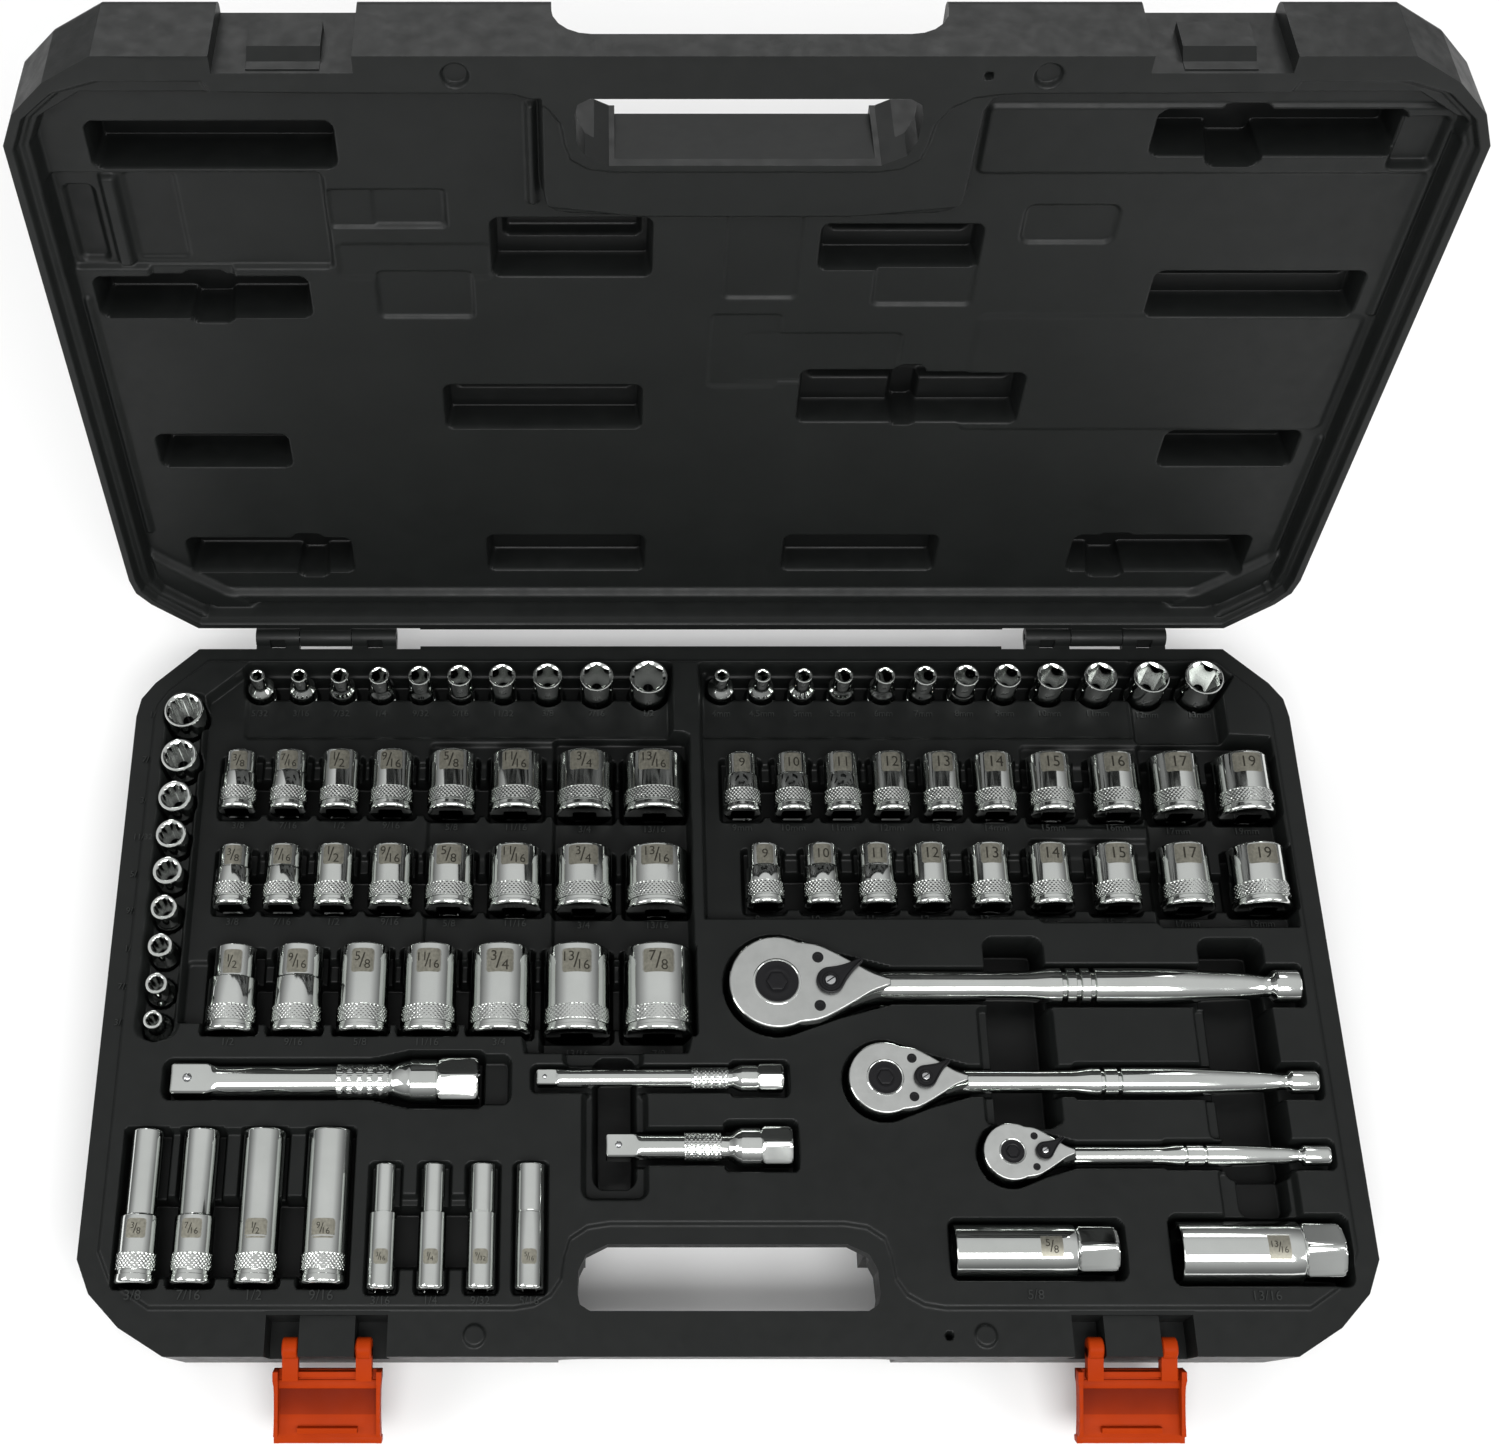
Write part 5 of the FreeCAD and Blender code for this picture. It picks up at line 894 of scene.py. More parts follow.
class Relief:
    """A height map over a regular grid, shaped by soft-edged steps and hollows."""

    def __init__(self, x0, x1, y0, y1, g):
        self.x = np.arange(x0, x1 + g / 2, g)
        self.y = np.arange(y0, y1 + g / 2, g)
        self.g = g
        self.X, self.Y = np.meshgrid(self.x, self.y)
        self.z = np.zeros_like(self.X)

    def win(self, x0, x1, y0, y1, m=6.0):
        i0, i1 = np.searchsorted(self.x, [x0 - m, x1 + m])
        j0, j1 = np.searchsorted(self.y, [y0 - m, y1 + m])
        return slice(j0, j1), slice(i0, i1)

    @staticmethod
    def sd_poly(X, Y, pts):
        d = np.full(X.shape, 1e18)
        s = np.ones(X.shape)
        n = len(pts)
        for i in range(n):
            ax, ay = pts[i]
            bx, by = pts[i - 1]
            ex, ey = bx - ax, by - ay
            wx, wy = X - ax, Y - ay
            t = np.clip((wx * ex + wy * ey) / (ex * ex + ey * ey), 0, 1)
            d = np.minimum(d, (wx - ex * t) ** 2 + (wy - ey * t) ** 2)
            c1, c2, c3 = Y >= ay, Y < by, ex * wy > ey * wx
            s = np.where((c1 & c2 & c3) | (~c1 & ~c2 & ~c3), -s, s)
        return s * np.sqrt(d)

    @staticmethod
    def sd_box(X, Y, x0, x1, y0, y1, r):
        qx = np.abs(X - (x0 + x1) / 2) - (x1 - x0) / 2 + r
        qy = np.abs(Y - (y0 + y1) / 2) - (y1 - y0) / 2 + r
        return np.hypot(np.maximum(qx, 0), np.maximum(qy, 0)) + np.minimum(np.maximum(qx, qy), 0) - r

    @staticmethod
    def step(d, wo, wi):
        t = np.clip((wo - d) / (wo + wi), 0, 1)
        return t * t * (3 - 2 * t)

    def _apply(self, w, d, floor, wo, wi, mode):
        z = self.z[w]
        t = self.step(d, wo, wi)
        if mode == "down":
            target = np.minimum(z, floor)
        elif mode == "up":
            target = np.maximum(z, floor)
        elif mode == "add":
            target = z + floor
        else:
            target = np.full_like(z, floor)
        self.z[w] = z + (target - z) * t

    def box(self, x0, x1, y0, y1, floor, r=2.0, wo=0.6, wi=1.0, mode="down"):
        x0, x1 = min(x0, x1), max(x0, x1)
        y0, y1 = min(y0, y1), max(y0, y1)
        w = self.win(x0, x1, y0, y1)
        r = min(r, (x1 - x0) / 2 - 0.01, (y1 - y0) / 2 - 0.01)
        self._apply(w, self.sd_box(self.X[w], self.Y[w], x0, x1, y0, y1, r), floor, wo, wi, mode)

    def disc(self, x, y, rad, floor, wo=0.5, wi=0.8, mode="down"):
        w = self.win(x - rad, x + rad, y - rad, y + rad)
        self._apply(w, np.hypot(self.X[w] - x, self.Y[w] - y) - rad, floor, wo, wi, mode)

    def poly(self, pts, floor, wo=0.6, wi=1.0, mode="down", grow=0.0):
        xs, ys = [p[0] for p in pts], [p[1] for p in pts]
        w = self.win(min(xs) - grow, max(xs) + grow, min(ys) - grow, max(ys) + grow)
        self._apply(w, self.sd_poly(self.X[w], self.Y[w], pts) - grow, floor, wo, wi, mode)

    def at(self, x, y):
        i = int(round((x - self.x[0]) / self.g))
        j = int(round((y - self.y[0]) / self.g))
        return float(self.z[min(max(j, 0), len(self.y) - 1), min(max(i, 0), len(self.x) - 1)])

    def tiles(self, name, domain, xf, lift, body, nodes, mat, d0, d1, limit=88000):
        """The surface inside the domain, cut into strips; the edge row is moved onto the outline. Painted shade grows
        from depth d0 to full at depth d1.
        """
        S = domain
        gy, gx = np.gradient(S, self.g)
        n = np.hypot(gx, gy) + 1e-9
        out = np.clip(S, 0, None)
        PX = self.X - out * gx / n
        PY = self.Y - out * gy / n
        zy, zx = np.gradient(self.z, self.g)
        N = np.stack([-zx, -zy, np.ones_like(zx)], -1)
        N /= np.linalg.norm(N, axis=-1)[..., None]
        ok = S < 0.75 * self.g
        cell = ok[:-1, :-1] & ok[1:, :-1] & ok[:-1, 1:] & ok[1:, 1:]
        rows = cell.sum(1)
        cuts, run = [0], 0
        for j, c in enumerate(rows):
            if run + c > limit:
                cuts.append(j)
                run = 0
            run += c
        cuts.append(len(rows))
        for a, b in zip(cuts[:-1], cuts[1:]):
            sub = cell[a:b]
            if not sub.any():
                continue
            jj, ii = np.nonzero(sub)
            jj = jj + a
            W = len(self.x)
            q = np.stack([jj * W + ii, jj * W + ii + 1, (jj + 1) * W + ii + 1, (jj + 1) * W + ii], 1)
            used, inv = np.unique(q, return_inverse=True)
            v = np.column_stack([PX.ravel()[used], PY.ravel()[used], self.z.ravel()[used] + lift])
            nn = N.reshape(-1, 3)[used]
            acc = Acc()
            acc.add(v, inv.reshape(-1, 4), None, None, 0, xf, np.clip((-self.z.ravel()[used] - d0) / (d1 - d0), 0, 1))
            nw = nn @ xf[:3, :3].T
            o = acc.make("%s_%d" % (name, len(made)), [mat], None, nw.tolist())
            show(o, body, nodes)


TRAY_NODES = [n for n in NODES if n.startswith(("tray_", "base_tray"))]
LINER_NODES = [n for n in NODES if n.startswith("lid_liner")]
G = 0.62
tray = Relief(-262.0, 262.0, -160.0, 160.0, G)
tray.poly(PANEL, 1.5, 0.9, 0.9, "set")
# terraces under the rows of sockets, lower where the sockets are larger
LEFT_BLOCK = [(-228.2, 131.5), (-209.8, 147.8), (-19.7, 147.8), (-19.7, 114.0), (-11.2, 112.0), (-11.2, -21.0), (-14.5, -34.0), (-82.0, -34.0), (-84.5, -21.0), (-228.2, -21.0)]
RIGHT_BLOCK = [(-5.5, 147.8), (229.5, 147.8), (236.0, 142.0), (229.8, 132.0), (229.8, 112.0), (248.4, 111.0), (248.4, 21.5), (190.0, 21.5), (186.0, 25.5), (-5.5, 25.5)]
tray.poly(LEFT_BLOCK, -5.0, 0.8, 1.2)
tray.poly(RIGHT_BLOCK, -5.0, 0.8, 1.2)
tray.box(-211.0, -18.5, 113.5, 149.0, -6.6, 2.0, 0.8, 1.4)
tray.box(-5.0, 190.0, 113.5, 149.0, -6.6, 2.0, 0.8, 1.4)
tray.box(190.0, 229.5, 111.0, 148.0, -8.2, 2.0, 0.8, 1.4)
tray.box(-127.0, -11.6, 8.5, 111.0, -7.0, 2.5, 0.9, 1.4)
tray.box(-71.5, -11.6, 9.5, 113.0, -9.4, 2.5, 0.9, 1.4)
tray.box(137.5, 248.2, 24.0, 64.0, -7.0, 2.5, 0.9, 1.4)
tray.box(137.5, 248.2, 70.0, 109.5, -6.6, 2.5, 0.9, 1.4)
tray.box(190.5, 248.2, 22.0, 110.5, -9.0, 2.5, 0.9, 1.4)
tray.box(-227.4, -11.6, -20.4, 7.6, -7.0, 2.5, 0.9, 1.4)
tray.box(-107.5, -11.6, -20.8, 7.6, -9.2, 2.5, 0.9, 1.4)
tray.box(-76.0, -14.5, -33.0, 7.0, -10.8, 2.5, 0.9, 1.4)
# channel and holes of the standing sockets
tray.box(-245.6, -227.4, -28.5, 133.0, -0.4, 6.0, 0.6, 1.2)
for x, y, af, top, foot in TWELVE:
    tray.disc(x, y, foot / 2 + 1.1, -6.0, 0.5, 0.9)
    tray.disc(x, y, foot / 2 + 0.75, -17.2, 0.35, 0.7)
tray.box(-244.4, -229.8, -22.0, 122.0, -6.5, 3.0, 0.5, 0.9)
for row in (INCH_ROW, METRIC_ROW):
    xa, xb = row[0][0] - 7.4, row[-1][0] + 8.6
    tray.box(xa, xb, 133.6, 147.6, -8.6, 3.0, 0.6, 1.2)
    tray.box(xa + 1.2, xb - 1.2, 135.2, 145.2, -15.5, 2.5, 0.5, 1.0)
    for x, y, af, top, foot in row:
        tray.disc(x, y, foot / 2 + 1.5, -9.0, 0.5, 0.9)
        tray.disc(x, y, foot / 2 + 0.75, -17.2, 0.35, 0.7)
# beds of the lying sockets with a deeper finger channel across each row
for name, (items, texts, yc, L, sq, share) in LYING.items():
    half = L / 2
    for x, af, nut, drv in items:
        r = drv / 2
        tray.box(x - r - 1.0, x + r + 1.0, yc - half - 1.1, yc + half + 1.1, CREST - drv - 0.5, 1.6, 0.45, 0.8)
    if L == 28.0:
        xs_ = [it[0] for it in items]
        tray.box(xs_[0] - 1, xs_[-1] + 1, yc - 12.6, yc + 12.0, tray.at(xs_[0] + 10, yc) - 2.4, 2.0, 0.6, 1.0)
        tray.box(xs_[0] - 1, xs_[-1] + 1, yc - 12.2, yc + 4.6, -15.5, 2.0, 0.5, 0.9)
    elif L == 38.0:
        tray.box(items[0][0], items[-1][0], yc - 15.0, yc + 15.0, -10.5, 2.0, 0.6, 1.0)
        tray.box(items[0][0], items[-1][0], yc - 13.5, yc + 6.5, -18.0, 2.0, 0.5, 0.9)
    elif L == 62.0:
        tray.box(items[0][0], items[-1][0], yc - 28.0, yc + 31.5, -2.8, 2.0, 0.6, 1.0)
        tray.box(items[0][0] - 6, items[-1][0] + 6, yc - 26.5, yc + 4.6, -13.5, 2.0, 0.5, 0.9)
    else:
        tray.box(items[0][0], items[2][0], yc - 16.0, yc + 13.0, -2.0, 2.0, 0.6, 1.0)
        tray.box(items[0][0], items[2][0], yc - 14.5, yc + 8.8, -11.0, 2.0, 0.5, 0.9)
# bars
tray.box(-231.4, -128.0, -45.8 - 8.2, -45.8 + 8.2, -10.2, 3.5, 0.6, 0.9)
tray.box(-132.0, -99.0, -45.8 - 11.6, -45.8 + 11.6, -13.0, 2.5, 0.6, 0.9)
tray.poly([(-146.0, -45.8 - 8.0), (-130.0, -45.8 - 11.6), (-130.0, -45.8 + 11.6), (-146.0, -45.8 + 8.0)], -13.0, 0.6, 0.9)
tray.box(-104.0, -88.0, -45.8 - 10.2, -45.8 + 10.0, -6.0, 3.5, 0.6, 1.2)
tray.box(-79.4, 6.0, -45.6 - 5.6, -45.6 + 5.6, -5.2, 2.5, 0.5, 0.8)
tray.box(3.0, 26.9, -45.6 - 7.4, -45.6 + 7.4, -5.2, 2.0, 0.5, 0.8)
tray.box(-50.8, 8.0, -73.7 - 7.4, -73.7 + 7.4, -10.2, 2.5, 0.5, 0.9)
tray.box(0.0, 29.7, -73.7 - 10.2, -73.7 + 10.2, -10.6, 2.0, 0.5, 0.9)
tray.box(-66.0, -33.5, -40.0, -26.0, -4.0, 3.0, 0.8, 1.4)
tray.box(-58.0, -31.8, -95.0, -50.0, -5.5, 4.0, 0.8, 1.4)
tray.box(-60.5, -33.5, -42.0, -33.0, -3.0, 4.0, 0.8, 1.6)
tray.box(-53.4, -36.6, -89.4, -36.0, -19.5, 4.5, 0.6, 1.2)
# spark plug sockets
tray.box(88.8, 158.2, -115.3 - 11.7, -115.3 + 11.7, -14.2, 3.0, 0.6, 0.9)
tray.box(177.2, 248.2, -115.6 - 13.6, -115.6 + 13.6, -18.0, 3.0, 0.6, 0.9)
# ratchets: shaped beds and the finger troughs across their handles
for k, q in RATCHETS.items():
    x, y, R, sh, vee, sc = q["x"], q["y"], q["R"], q["shaft"], q["vee"], q["R"] / 20.4
    outline = [(x + R * math.cos(a), y + R * math.sin(a)) for a in np.linspace(1.13, 2 * math.pi - 1.13, 40)]
    outline += [(x + vee * 0.62, y - 0.60 * R), (x + vee + 6 * sc, y - sh), (x + vee + 6 * sc, y + sh), (x + vee * 0.62, y + 0.60 * R)]
    tray.poly(outline, q["flat"] - q["T"] - 0.7, 0.6, 0.9, "down", 1.5)
    tray.box(x - 10.5, x + 10.5, y - 10.5, y + 10.5, q["flat"] - q["T"] - q["square"] - 2.0, 3.0, 0.6, 1.0)
    tray.box(x + vee - 2, x + q["rings"][0] - 8 * sc, y - sh - 1.4, y + sh + 1.4, -sh - 1.0, 2.0, 0.5, 0.9)
    tray.box(x + q["rings"][0] - 16 * sc, x + q["end"] + 2.0, y - q["grip"] - 1.4, y + q["grip"] + 1.4, -q["grip"] - 1.0, 2.5, 0.5, 0.9)
tray.box(107.5, 138.8, -64.5, -14.5, -3.0, 2.5, 0.7, 1.2)
tray.box(198.5, 231.0, -70.5, -14.5, -3.0, 2.5, 0.7, 1.2)
tray.box(200.0, 231.0, -104.5, -83.0, -3.5, 2.5, 0.7, 1.2)
tray.box(112.5, 137.0, -66.0, 15.8, -19.0, 4.0, 0.6, 1.2)
tray.box(204.0, 230.6, -86.0, 15.2, -19.0, 4.0, 0.6, 1.2)
tray.box(208.0, 228.0, -101.5, -84.0, -13.0, 4.0, 0.6, 1.2)
# closing bumps and the blow hole on the front land
for s in (-1, 1):
    tray.disc(s * 100.3, -148.5, 4.5, 1.3, 0.3, 0.9, "up")
tray.disc(86.0, -148.5, 1.3, -7.0, 0.3, 0.4)
dom = Relief.sd_poly(tray.X, tray.Y, inset(OUTLINE, 1.55))
dom = np.maximum(dom, -(Relief.sd_poly(tray.X, tray.Y, HOLE) - 1.55))
for s in (-1, 1):
    a, b = sorted((s * 134.5, s * 182.5))
    dom = np.maximum(dom, -(Relief.sd_box(tray.X, tray.Y, a, b, -175.0, -140.5, 0.5) - 1.55))
# painted shade in the tray from 2.5 mm below the rim plane, full at 13 mm
tray.tiles("tray", dom, xform((0, 0, ZR)), 0.03, "base", TRAY_NODES, BLACK, 2.5, 13.0)

# raised size marks on the tray
acc = Acc()


def mark(text, x, y, size):
    z = tray.at(x, y)

    def place(px, py, h):
        return np.column_stack([x + px, y + py, np.full(len(px), ZR + z + 0.03 + h)])

    raised_text(acc, text, size * 1.06, place, 0.62, 0)


for (x, y, *_), tx in zip(TWELVE, S12):
    mark(tx, -251.2 if len(tx) < 5 else -250.6, y + 1.0, 3.6)
for row, txs, unit in ((INCH_ROW, SIN, ""), (METRIC_ROW, SME, "mm")):
    for (x, y, *_), tx in zip(row, txs):
        mark(tx + unit, x, 126.6, 4.0)
for name, (items, texts, yc, L, sq, share) in LYING.items():
    unit = "mm" if "metric" in name else ""
    yy = {28.0: yc - 18.2, 38.0: yc - 23.2, 62.0: yc - 35.0, 50.0: yc - 28.6}[L]
    for it, tx in zip(items, texts):
        yl = yy
        if name == "sockets_half_drive" and it[0] > -82:
            yl = yy - 1.4
        mark(tx + unit, it[0], yl, 4.2 if L < 60 else 5.2)
mark("5/8", 121.0, -133.2, 5.0)
mark("13/16", 212.0, -133.6, 5.0)
# marks drawn lighter than the case: painted highlight
o = acc.make("tray_size_marks", [RELIEF_PAINTED_HIGHLIGHT], 30.0)
show(o, "base", [])

# ------------------------------------------------------------------ lid, drawn flat: x, distance from the hinge axis, depth
lid = Relief(-262.0, 262.0, 4.0, 322.0, G)
lid.z[:] = -0.3


def lid_pts(pts):
    return [(x, HY - y) for x, y in pts]


L_OUT = lid_pts(OUTLINE)
LEDGE = lid_pts([(232.5, 153.2), (249.8, 136.8), (254.6, 129.5), (256.0, 121.2), (256.0, -117.0), (250.4, -130.0), (238.0, -141.0),
                 (222.0, -146.0), (186.0, -146.0), (184.0, -141.4), (90.0, -140.6), (85.0, -138.6), (83.0, -134.0), (82.6, -90.0), (0.0, -80.0),
                 (-73.8, -90.0), (-74.2, -134.0), (-76.2, -138.6), (-81.2, -140.6), (-184.0, -141.4), (-186.0, -146.0), (-222.0, -146.0),
                 (-238.0, -141.0), (-250.4, -130.0), (-256.0, -117.0), (-256.0, 121.2), (-254.6, 129.5), (-249.8, 136.8), (-232.5, 153.2)])
RECESS = lid_pts([(229.0, 151.6), (247.0, 135.0), (250.4, 127.6), (251.2, 121.0), (251.2, -116.0), (245.7, -128.0), (229.4, -138.4),
                  (88.0, -138.4), (83.6, -136.8), (81.6, -132.5), (80.4, -96.0), (79.6, -91.0), (76.4, -86.8), (71.0, -84.6), (-63.0, -84.6),
                  (-67.6, -86.4), (-70.8, -90.4), (-71.6, -96.0), (-71.6, -138.4), (-229.4, -138.4), (-245.7, -128.0), (-251.2, -116.0),
                  (-251.2, 121.0), (-250.4, 127.6), (-247.0, 135.0), (-229.0, 151.6)])
CURVE = mirror_x([(95.0, -78.0), (95.0, -138.4), (86.0, -138.4), (77.4, -137.0), (70.8, -133.2), (66.7, -127.1), (65.3, -118.0), (63.1, -111.0), (56.1, -106.2), (47.0, -104.8)])
LID_HOLE = [(x, {-123.0: -121.0, -117.0: -114.6, -113.0: -110.3}.get(y, y)) for x, y in HOLE]
lid.poly(lid_pts(CURVE), -2.3, 0.6, 1.2, "down", 2.2)
lid.poly(LEDGE, -3.6, 0.4, 0.8)
lid.poly(inset(LEDGE, 2.2), -4.6, 0.4, 0.8)
lid.poly(RECESS, -12.3, 0.6, 1.4)
LID_POCKETS = [(-232.9, -145.9, 262.2, 282.3), (144.7, 231.4, 269.1, 288.4), (-91.5, -31.9, 210.2, 238.1), (31.7, 91.2, 213.6, 235.1),
               (-243.9, -162.9, 188.8, 209.1), (160.3, 239.9, 189.8, 211.9), (-113.9, -34.3, 126.2, 150.7), (30.0, 119.5, 130.2, 158.1),
               (-235.0, -180.9, 102.4, 121.8), (184.1, 239.2, 103.0, 124.1), (-233.0, -161.2, 32.6, 55.4), (-100.3, -31.6, 34.0, 57.1),
               (30.7, 98.0, 34.0, 57.1), (158.3, 235.9, 33.3, 57.1)]
# shallow shapes beside the deep hollows
P0 = -12.3
lid.box(-251.0, -151.5, 213.5, 259.5, P0 - 2.6, 3.0, 0.8, 1.4)
lid.box(-247.5, -236.0, 215.5, 252.0, P0 - 5.0, 3.0, 0.8, 1.6)
lid.box(-233.0, -226.5, 214.5, 258.0, P0 + 0.6, 2.0, 0.8, 1.6, "set")
lid.box(-225.0, -205.5, 217.0, 258.0, P0 - 3.6, 2.5, 0.8, 1.4)
lid.box(-151.0, -107.5, 233.5, 251.8, P0 - 1.6, 2.0, 0.8, 1.2)
lid.box(-135.0, -108.6, 234.6, 251.0, P0 - 2.4, 2.0, 0.7, 1.1)
lid.box(-222.0, -190.0, 208.0, 216.0, P0 - 1.6, 2.0, 0.8, 1.2)
lid.box(-136.5, -99.5, 188.0, 212.0, P0 - 1.7, 2.5, 0.8, 1.2)
lid.box(-77.6, -73.6, 246.0, 292.0, P0 + 2.8, 1.8, 1.0, 1.8, "set")
lid.box(-150.0, -92.0, 208.5, 226.0, P0 - 0.8, 3.0, 1.0, 1.6)
lid.box(-4.0, 24.5, 198.0, 240.0, P0 - 1.5, 2.5, 0.8, 1.2)
lid.box(-8.0, 20.0, 150.0, 190.0, P0 - 0.9, 2.5, 0.8, 1.4)
lid.box(53.5, 92.0, 194.5, 217.0, P0 - 1.7, 2.5, 0.8, 1.2)
lid.box(105.5, 140.5, 226.0, 244.5, P0 - 1.7, 4.0, 0.8, 1.2)
lid.box(6.0, 68.0, 152.5, 180.0, P0 - 1.1, 3.0, 0.8, 1.4)
lid.box(84.5, 250.0, 260.0, 290.5, P0 + 1.5, 3.0, 0.9, 1.6, "set")
lid.box(96.0, 246.0, 125.5, 190.0, P0 + 0.7, 4.0, 1.2, 2.0, "set")
lid.box(-250.0, -246.5, 60.0, 200.0, P0 + 1.6, 1.6, 0.9, 1.6, "set")
lid.box(246.5, 250.0, 30.0, 122.0, P0 + 1.6, 1.6, 0.9, 1.6, "set")
lid.box(246.0, 250.0, 190.0, 262.0, P0 + 1.6, 1.6, 0.9, 1.6, "set")
lid.box(231.0, 247.5, 262.5, 285.5, P0 - 3.0, 3.0, 0.9, 1.8)
lid.box(-240.0, 240.0, 12.8, 20.5, P0 + 3.4, 2.5, 1.2, 2.2, "up")
lid.poly([(-251, 24), (-222, 8), (-200, 8), (-220, 22), (-243, 42), (-251, 50)], P0 + 4.0, 0.8, 2.4, "up")
lid.poly([(251, 24), (222, 8), (200, 8), (220, 22), (243, 42), (251, 50)], P0 + 4.0, 0.8, 2.4, "up")
for i, (x0, x1, s0, s1) in enumerate(LID_POCKETS, 1):
    if i in (3, 4, 6, 7, 8, 12, 13):
        lid.box(x0, x1, s0, s1, -24.0, 3.0, 0.7, 1.4)
        part = {3: 0.36, 4: 0.43}.get(i, 0.50)
        lid.box(x0 + 4.0, x1 - 4.0, s0 + (s1 - s0) * part, s1 - 1.0, -29.0, 2.5, 0.6, 1.2)
    else:
        lid.box(x0, x1, s0, s1, -28.9, 3.5, 0.7, 1.5)
for x0, x1, s0, s1 in ((165.5, 184.5, 264.5, 290.0), (-210.0, -193.0, 186.0, 211.0), (-186.5, -172.5, 29.5, 58.0), (168.0, 184.0, 29.5, 58.5), (67.5, 79.0, 128.5, 162.0)):
    lid.box(x0, x1, s0, s1, -28.9, 4.0, 0.7, 1.5)
for s in (-1, 1):
    lid.disc(s * 100.3, HY + 148.5, 4.8, -2.6, 0.4, 0.9)
lid.disc(80.0, HY + 148.5, 1.3, -7.0, 0.3, 0.4)
dl = Relief.sd_poly(lid.X, lid.Y, inset(L_OUT, 1.55))
dl = np.maximum(dl, -(Relief.sd_poly(lid.X, lid.Y, lid_pts(LID_HOLE)) - 1.55))
for s in (-1, 1):
    a, b = sorted((s * 134.5, s * 182.5))
    dl = np.maximum(dl, -(Relief.sd_box(lid.X, lid.Y, a, b, HY + 149.6, HY + 175.0, 0.5) - 1.55))
# painted shade in the lid lining from 13.2 mm deep, full at 26 mm
lid.tiles("lid_lining", dl, LID_XF, 0.03, "lid", LINER_NODES, BLACK, 13.2, 26.0)

# ------------------------------------------------------------------ pieces shown as built, with softened edges


def soften(o, width, segs=3, angle=28.0):
    w = o.modifiers.new("weld", "WELD")
    w.merge_threshold = 0.00002
    b = o.modifiers.new("bevel", "BEVEL")
    b.width = width * MM
    b.segments = segs
    b.limit_method = "ANGLE"
    b.angle_limit = math.radians(angle)
    b.miter_outer = "MITER_ARC"
    b.use_clamp_overlap = True
    b.harden_normals = False


def dress(name, mat, width=0.0, segs=3):
    o = NODES[name]
    o.data.materials.clear()
    o.data.materials.append(mat)
    if width:
        soften(o, width, segs)
    return o


dress("base_shell", BLACK, 1.2, 3)
dress("lid_shell", BLACK, 1.2, 3)


def turned(loop):
    """The loop in anticlockwise order."""
    a = sum(p[0] * q[1] - q[0] * p[1] for p, q in zip(loop, loop[1:] + loop[:1]))
    return np.array(loop if a > 0 else loop[::-1], float)


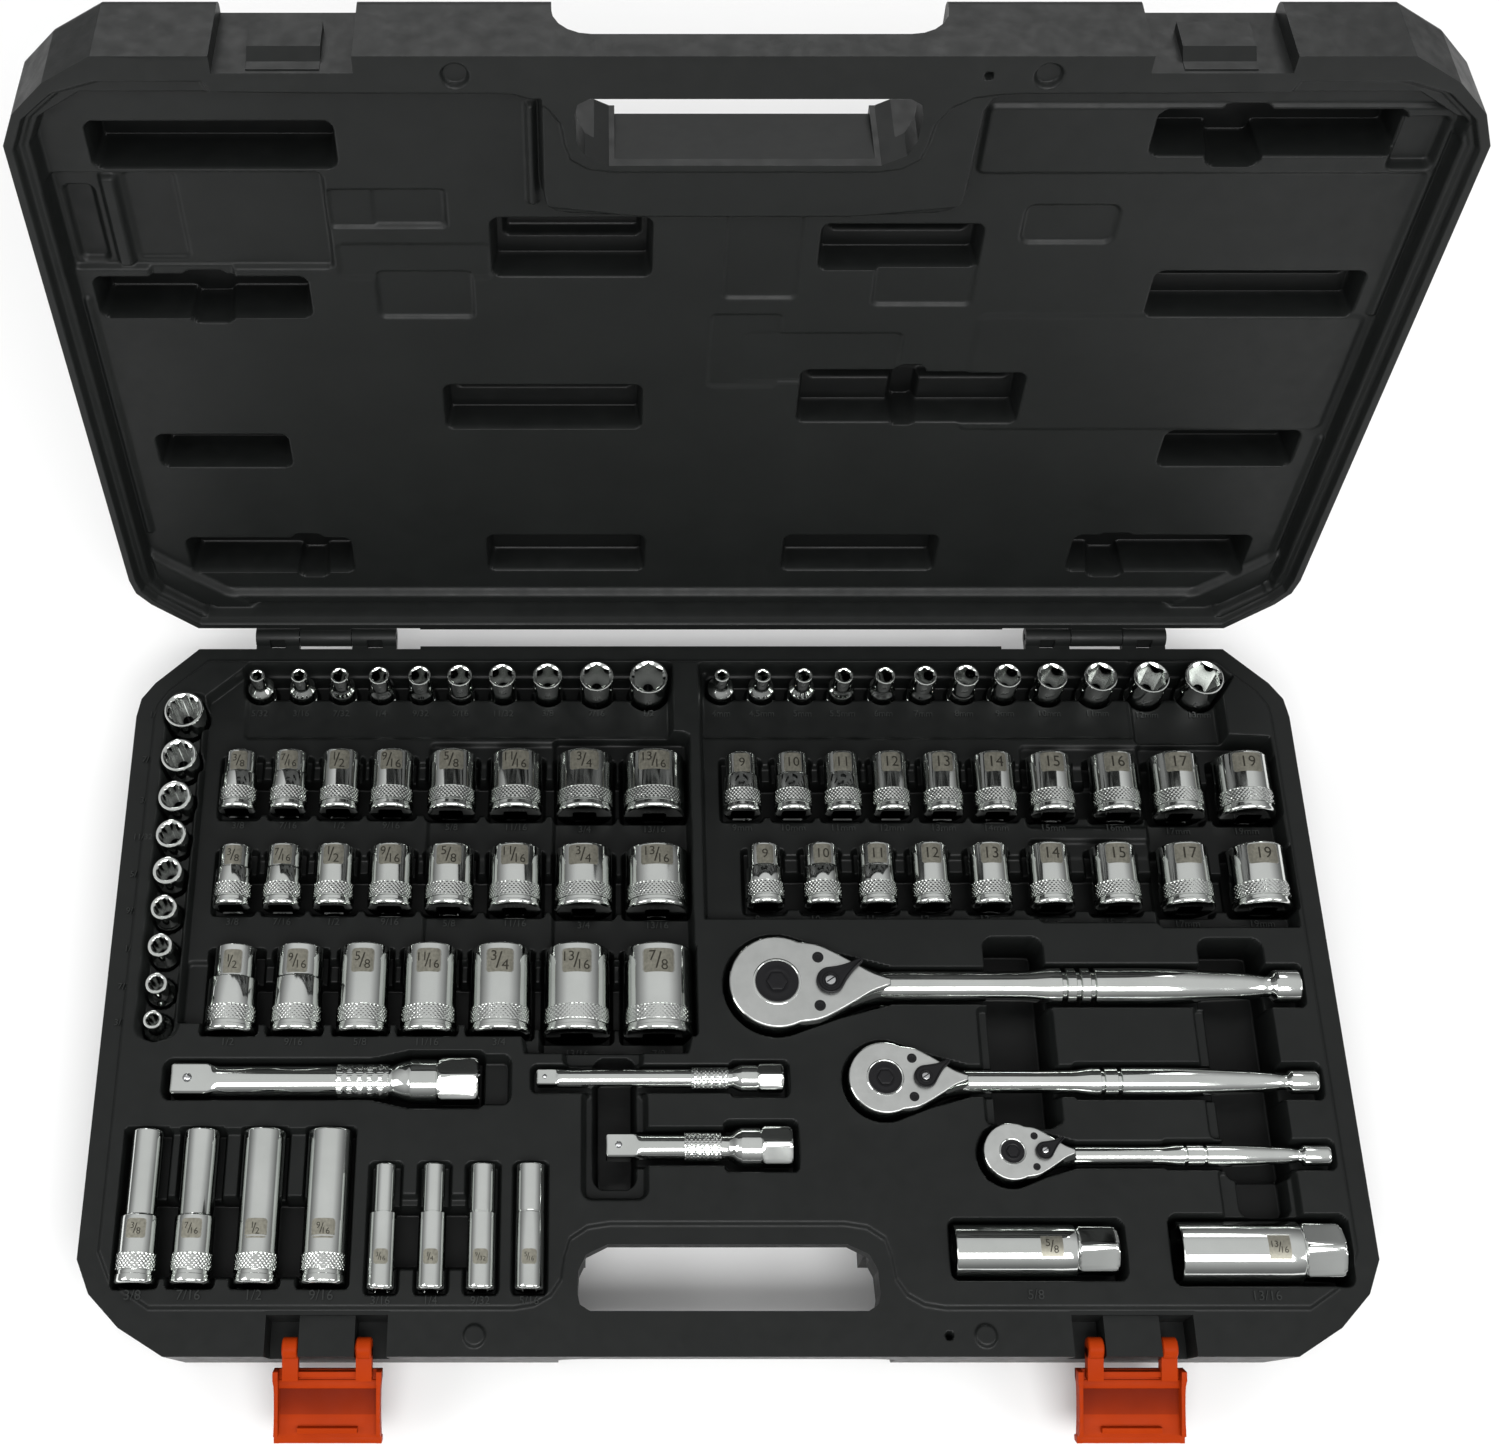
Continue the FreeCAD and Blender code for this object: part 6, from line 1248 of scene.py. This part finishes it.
def latch_look(name, xc):
    """Pivot arms, a sunken plate with side flanges that draw in below the shoulders, and a pull lip; a sheet just in
    front of the plate carries painted shade.
    """
    c, s = math.cos(math.radians(115.0)), math.sin(math.radians(115.0))
    at = xform((xc, -152.0, ZR - 7.0), [(1, 0, 0), (0, c, s), (0, -s, c)])
    flat = at @ xform((0, 0, 0), [(1, 0, 0), (0, 0, 1), (0, -1, 0)])
    along = at @ xform((0, 0, 0), ALONG_X)
    acc = Acc()

    def plate(loop, y0, y1):
        l = turned(loop)
        loft(acc, [l, l], [-y1, -y0], 0, flat)

    def bar(loop, x0, x1):
        l = turned(loop)
        loft(acc, [l, l], [x0, x1], 0, along)

    side = [(9.0, 21.4), (12.6, 21.4), (14.6, 21.05), (18.0, 20.9), (23.5, 20.85), (29.0, 20.9), (34.4, 21.1), (37.8, 21.3)]
    plate([(w, z) for z, w in side] + [(-w, z) for z, w in reversed(side)], -4.5, -2.6)
    for e in (-1, 1):
        for (z0, w0), (z1, w1) in zip(side[:-1], side[1:]):
            top = 1.8 if z1 < 13 else (1.5 if z1 < 15 else (1.2 if z1 < 35 else -1.65))
            plate([(e * w0, z0), (e * w1, z1 + 0.02), (e * 19.35, z1 + 0.02), (e * 19.35, z0)], -4.4, top)
        a, b = sorted((e * 11.4, e * 17.6))
        bar([(-3.2, 0.0), (1.9, 0.0), (1.9, 12.5), (-3.2, 12.5)], a, b)
        xe = at @ xform((a, 0, 0), ALONG_X)
        lathe(acc, [(3.6, 0.0), (4.2, 0.5), (4.2, b - a - 0.5), (3.6, b - a)], 48, xe)
        a, b = sorted((e * 5.2, e * 11.8))
        lathe(acc, [(2.0, 0.0), (2.0, b - a)], 32, at @ xform((a, 0, 0), ALONG_X))
    bar([(-2.6, 9.2), (0.6, 9.2), (0.6, 11.2), (-2.6, 11.2)], -17.8, 17.8)
    bar([(-2.8, 13.0), (-1.9, 13.0), (-1.65, 14.0), (-1.75, 16.2), (-2.8, 16.8)], -19.4, 19.4)
    bar([(-4.3, 26.5), (-2.55, 26.5), (-2.1, 30.0), (-1.7, 34.0), (-1.7, 36.0), (-4.3, 36.0)], -19.4, 19.4)
    bar([(-6.8, 36.4), (-5.9, 35.4), (-4.0, 35.0), (-1.75, 35.0), (-1.6, 36.2), (-1.8, 37.8), (-6.2, 37.8)], -21.3, 21.3)
    bar([(-1.9, 31.1), (1.0, 31.1), (0.6, 33.3), (-1.9, 33.5)], -11.8, 11.8)
    # painted shade: a sheet just in front of the plate, darkest near the shoulders and lighter towards the pull lip
    zs = np.array([16.5, 18.5, 21.0, 24.0, 27.0])
    painted_shade_values = np.array([1.0, 0.95, 0.85, 0.7, 0.5])
    v = np.array([(x, -2.52, z) for z in zs for x in (-19.2, 19.2)])
    q = [(2 * i, 2 * i + 1, 2 * i + 3, 2 * i + 2) for i in range(len(zs) - 1)]
    acc.add(v, [k[::-1] for k in q], None, None, 0, at, np.repeat(painted_shade_values, 2))
    o = acc.make(name + "_look", [ORANGE], 35.0)
    soften(o, 0.45, 3)
    show(o, name, [name])


latch_look("latch_left", -158.5)
latch_look("latch_right", 158.5)
dress("latch_left", ORANGE)
dress("latch_right", ORANGE)
dress("hinge_pins", STEEL)
for n in NODES:
    if n.endswith("_ball"):
        dress(n, STEEL)
    elif n.endswith("_pawl"):
        dress(n, STEEL, 0.2, 2)
    elif n.endswith("_grip"):
        dress(n, RUBBER, 0.5, 2)
    elif n in TRAY_NODES or n in LINER_NODES:
        dress(n, BLACK)
    elif n.startswith("sockets_") or n.endswith("_extension") or n.endswith("_ratchet_body") or n in ("plug_socket_small", "plug_socket_large"):
        dress(n, CHROME)
    elif n.endswith("_cover"):
        dress(n, SATIN)
    elif n.endswith(("_drive", "_button", "_lever", "_screws")):
        dress(n, OXIDE)

# ------------------------------------------------------------------ floor, light and camera

fm, ft, fb = nodes_of("pale_floor")
ft.links.new(ramp(ft, noise(ft, 1.2, 3.0, 0.5), [(0.2, (0.86, 0.86, 0.86)), (0.8, (0.90, 0.90, 0.895))]), fb.inputs["Base Color"])
ft.links.new(span(ft, noise(ft, 6.0, 3.0, 0.5), 0.62, 0.75), fb.inputs["Roughness"])
fb.inputs["Specular IOR Level"].default_value = 0.15
bpy.ops.mesh.primitive_plane_add(size=14.0, location=(0, 0, 0))
floor = bpy.context.object
floor.name = "floor"
floor.data.materials.append(fm)

world = bpy.data.worlds.new("studio")
bpy.context.scene.world = world
world.use_nodes = True
wt = world.node_tree
bg = next(n for n in wt.nodes if n.type == "BACKGROUND")
tc = wt.nodes.new("ShaderNodeTexCoord")
sp = wt.nodes.new("ShaderNodeSeparateXYZ")
wt.links.new(tc.outputs["Generated"], sp.inputs["Vector"])
wr = wt.nodes.new("ShaderNodeValToRGB")
el = wr.color_ramp.elements
el[0].position, el[0].color = 0.0, (0.20, 0.203, 0.206, 1)
el[1].position, el[1].color = 1.0, (1.0, 1.0, 1.0, 1)
for pos, v in ((0.25, 0.32), (0.55, 0.62), (0.80, 0.95)):
    e = el.new(pos)
    e.color = (v, v, v * 1.005, 1)
wt.links.new(sp.outputs["Z"], wr.inputs["Fac"])
wt.links.new(wr.outputs["Color"], bg.inputs["Color"])
bg.inputs["Strength"].default_value = 0.66


def area(name, loc, look, sx, sy, watts):
    l = bpy.data.lights.new(name, "AREA")
    l.shape = "RECTANGLE"
    l.size, l.size_y = sx, sy
    l.energy = watts
    o = bpy.data.objects.new(name, l)
    bpy.context.scene.collection.objects.link(o)
    o.location = loc
    o.rotation_euler = (Vector(look) - Vector(loc)).to_track_quat("-Z", "Y").to_euler()
    return o


area("front_soft", (0.10, -1.05, 1.60), (0, 0.05, 0.05), 1.5, 0.7, 27.0)
area("left_soft", (-1.5, -0.5, 1.1), (0, 0, 0.05), 0.9, 0.9, 9.0)
area("right_soft", (1.5, -0.7, 1.2), (0, 0, 0.05), 0.8, 0.8, 7.0)
area("back_soft", (0.0, 1.75, 1.30), (0, 0.75, 0.0), 1.8, 0.5, 13.0)

bpy.context.scene.view_settings.view_transform = "Standard"
cam = bpy.data.cameras.new("view")
cam.sensor_fit = "HORIZONTAL"
cam.sensor_width = 36.0
cam.lens = 50.0
cam.shift_x = 0.1026
cam.shift_y = -0.0158
cam.clip_start = 0.01
cam.clip_end = 50.0
co = bpy.data.objects.new("view", cam)
bpy.context.scene.collection.objects.link(co)
co.location = (-0.05256, -0.29226, 0.88718)
co.rotation_euler = (math.radians(90.0 - 63.44), 0, 0)
bpy.context.scene.camera = co
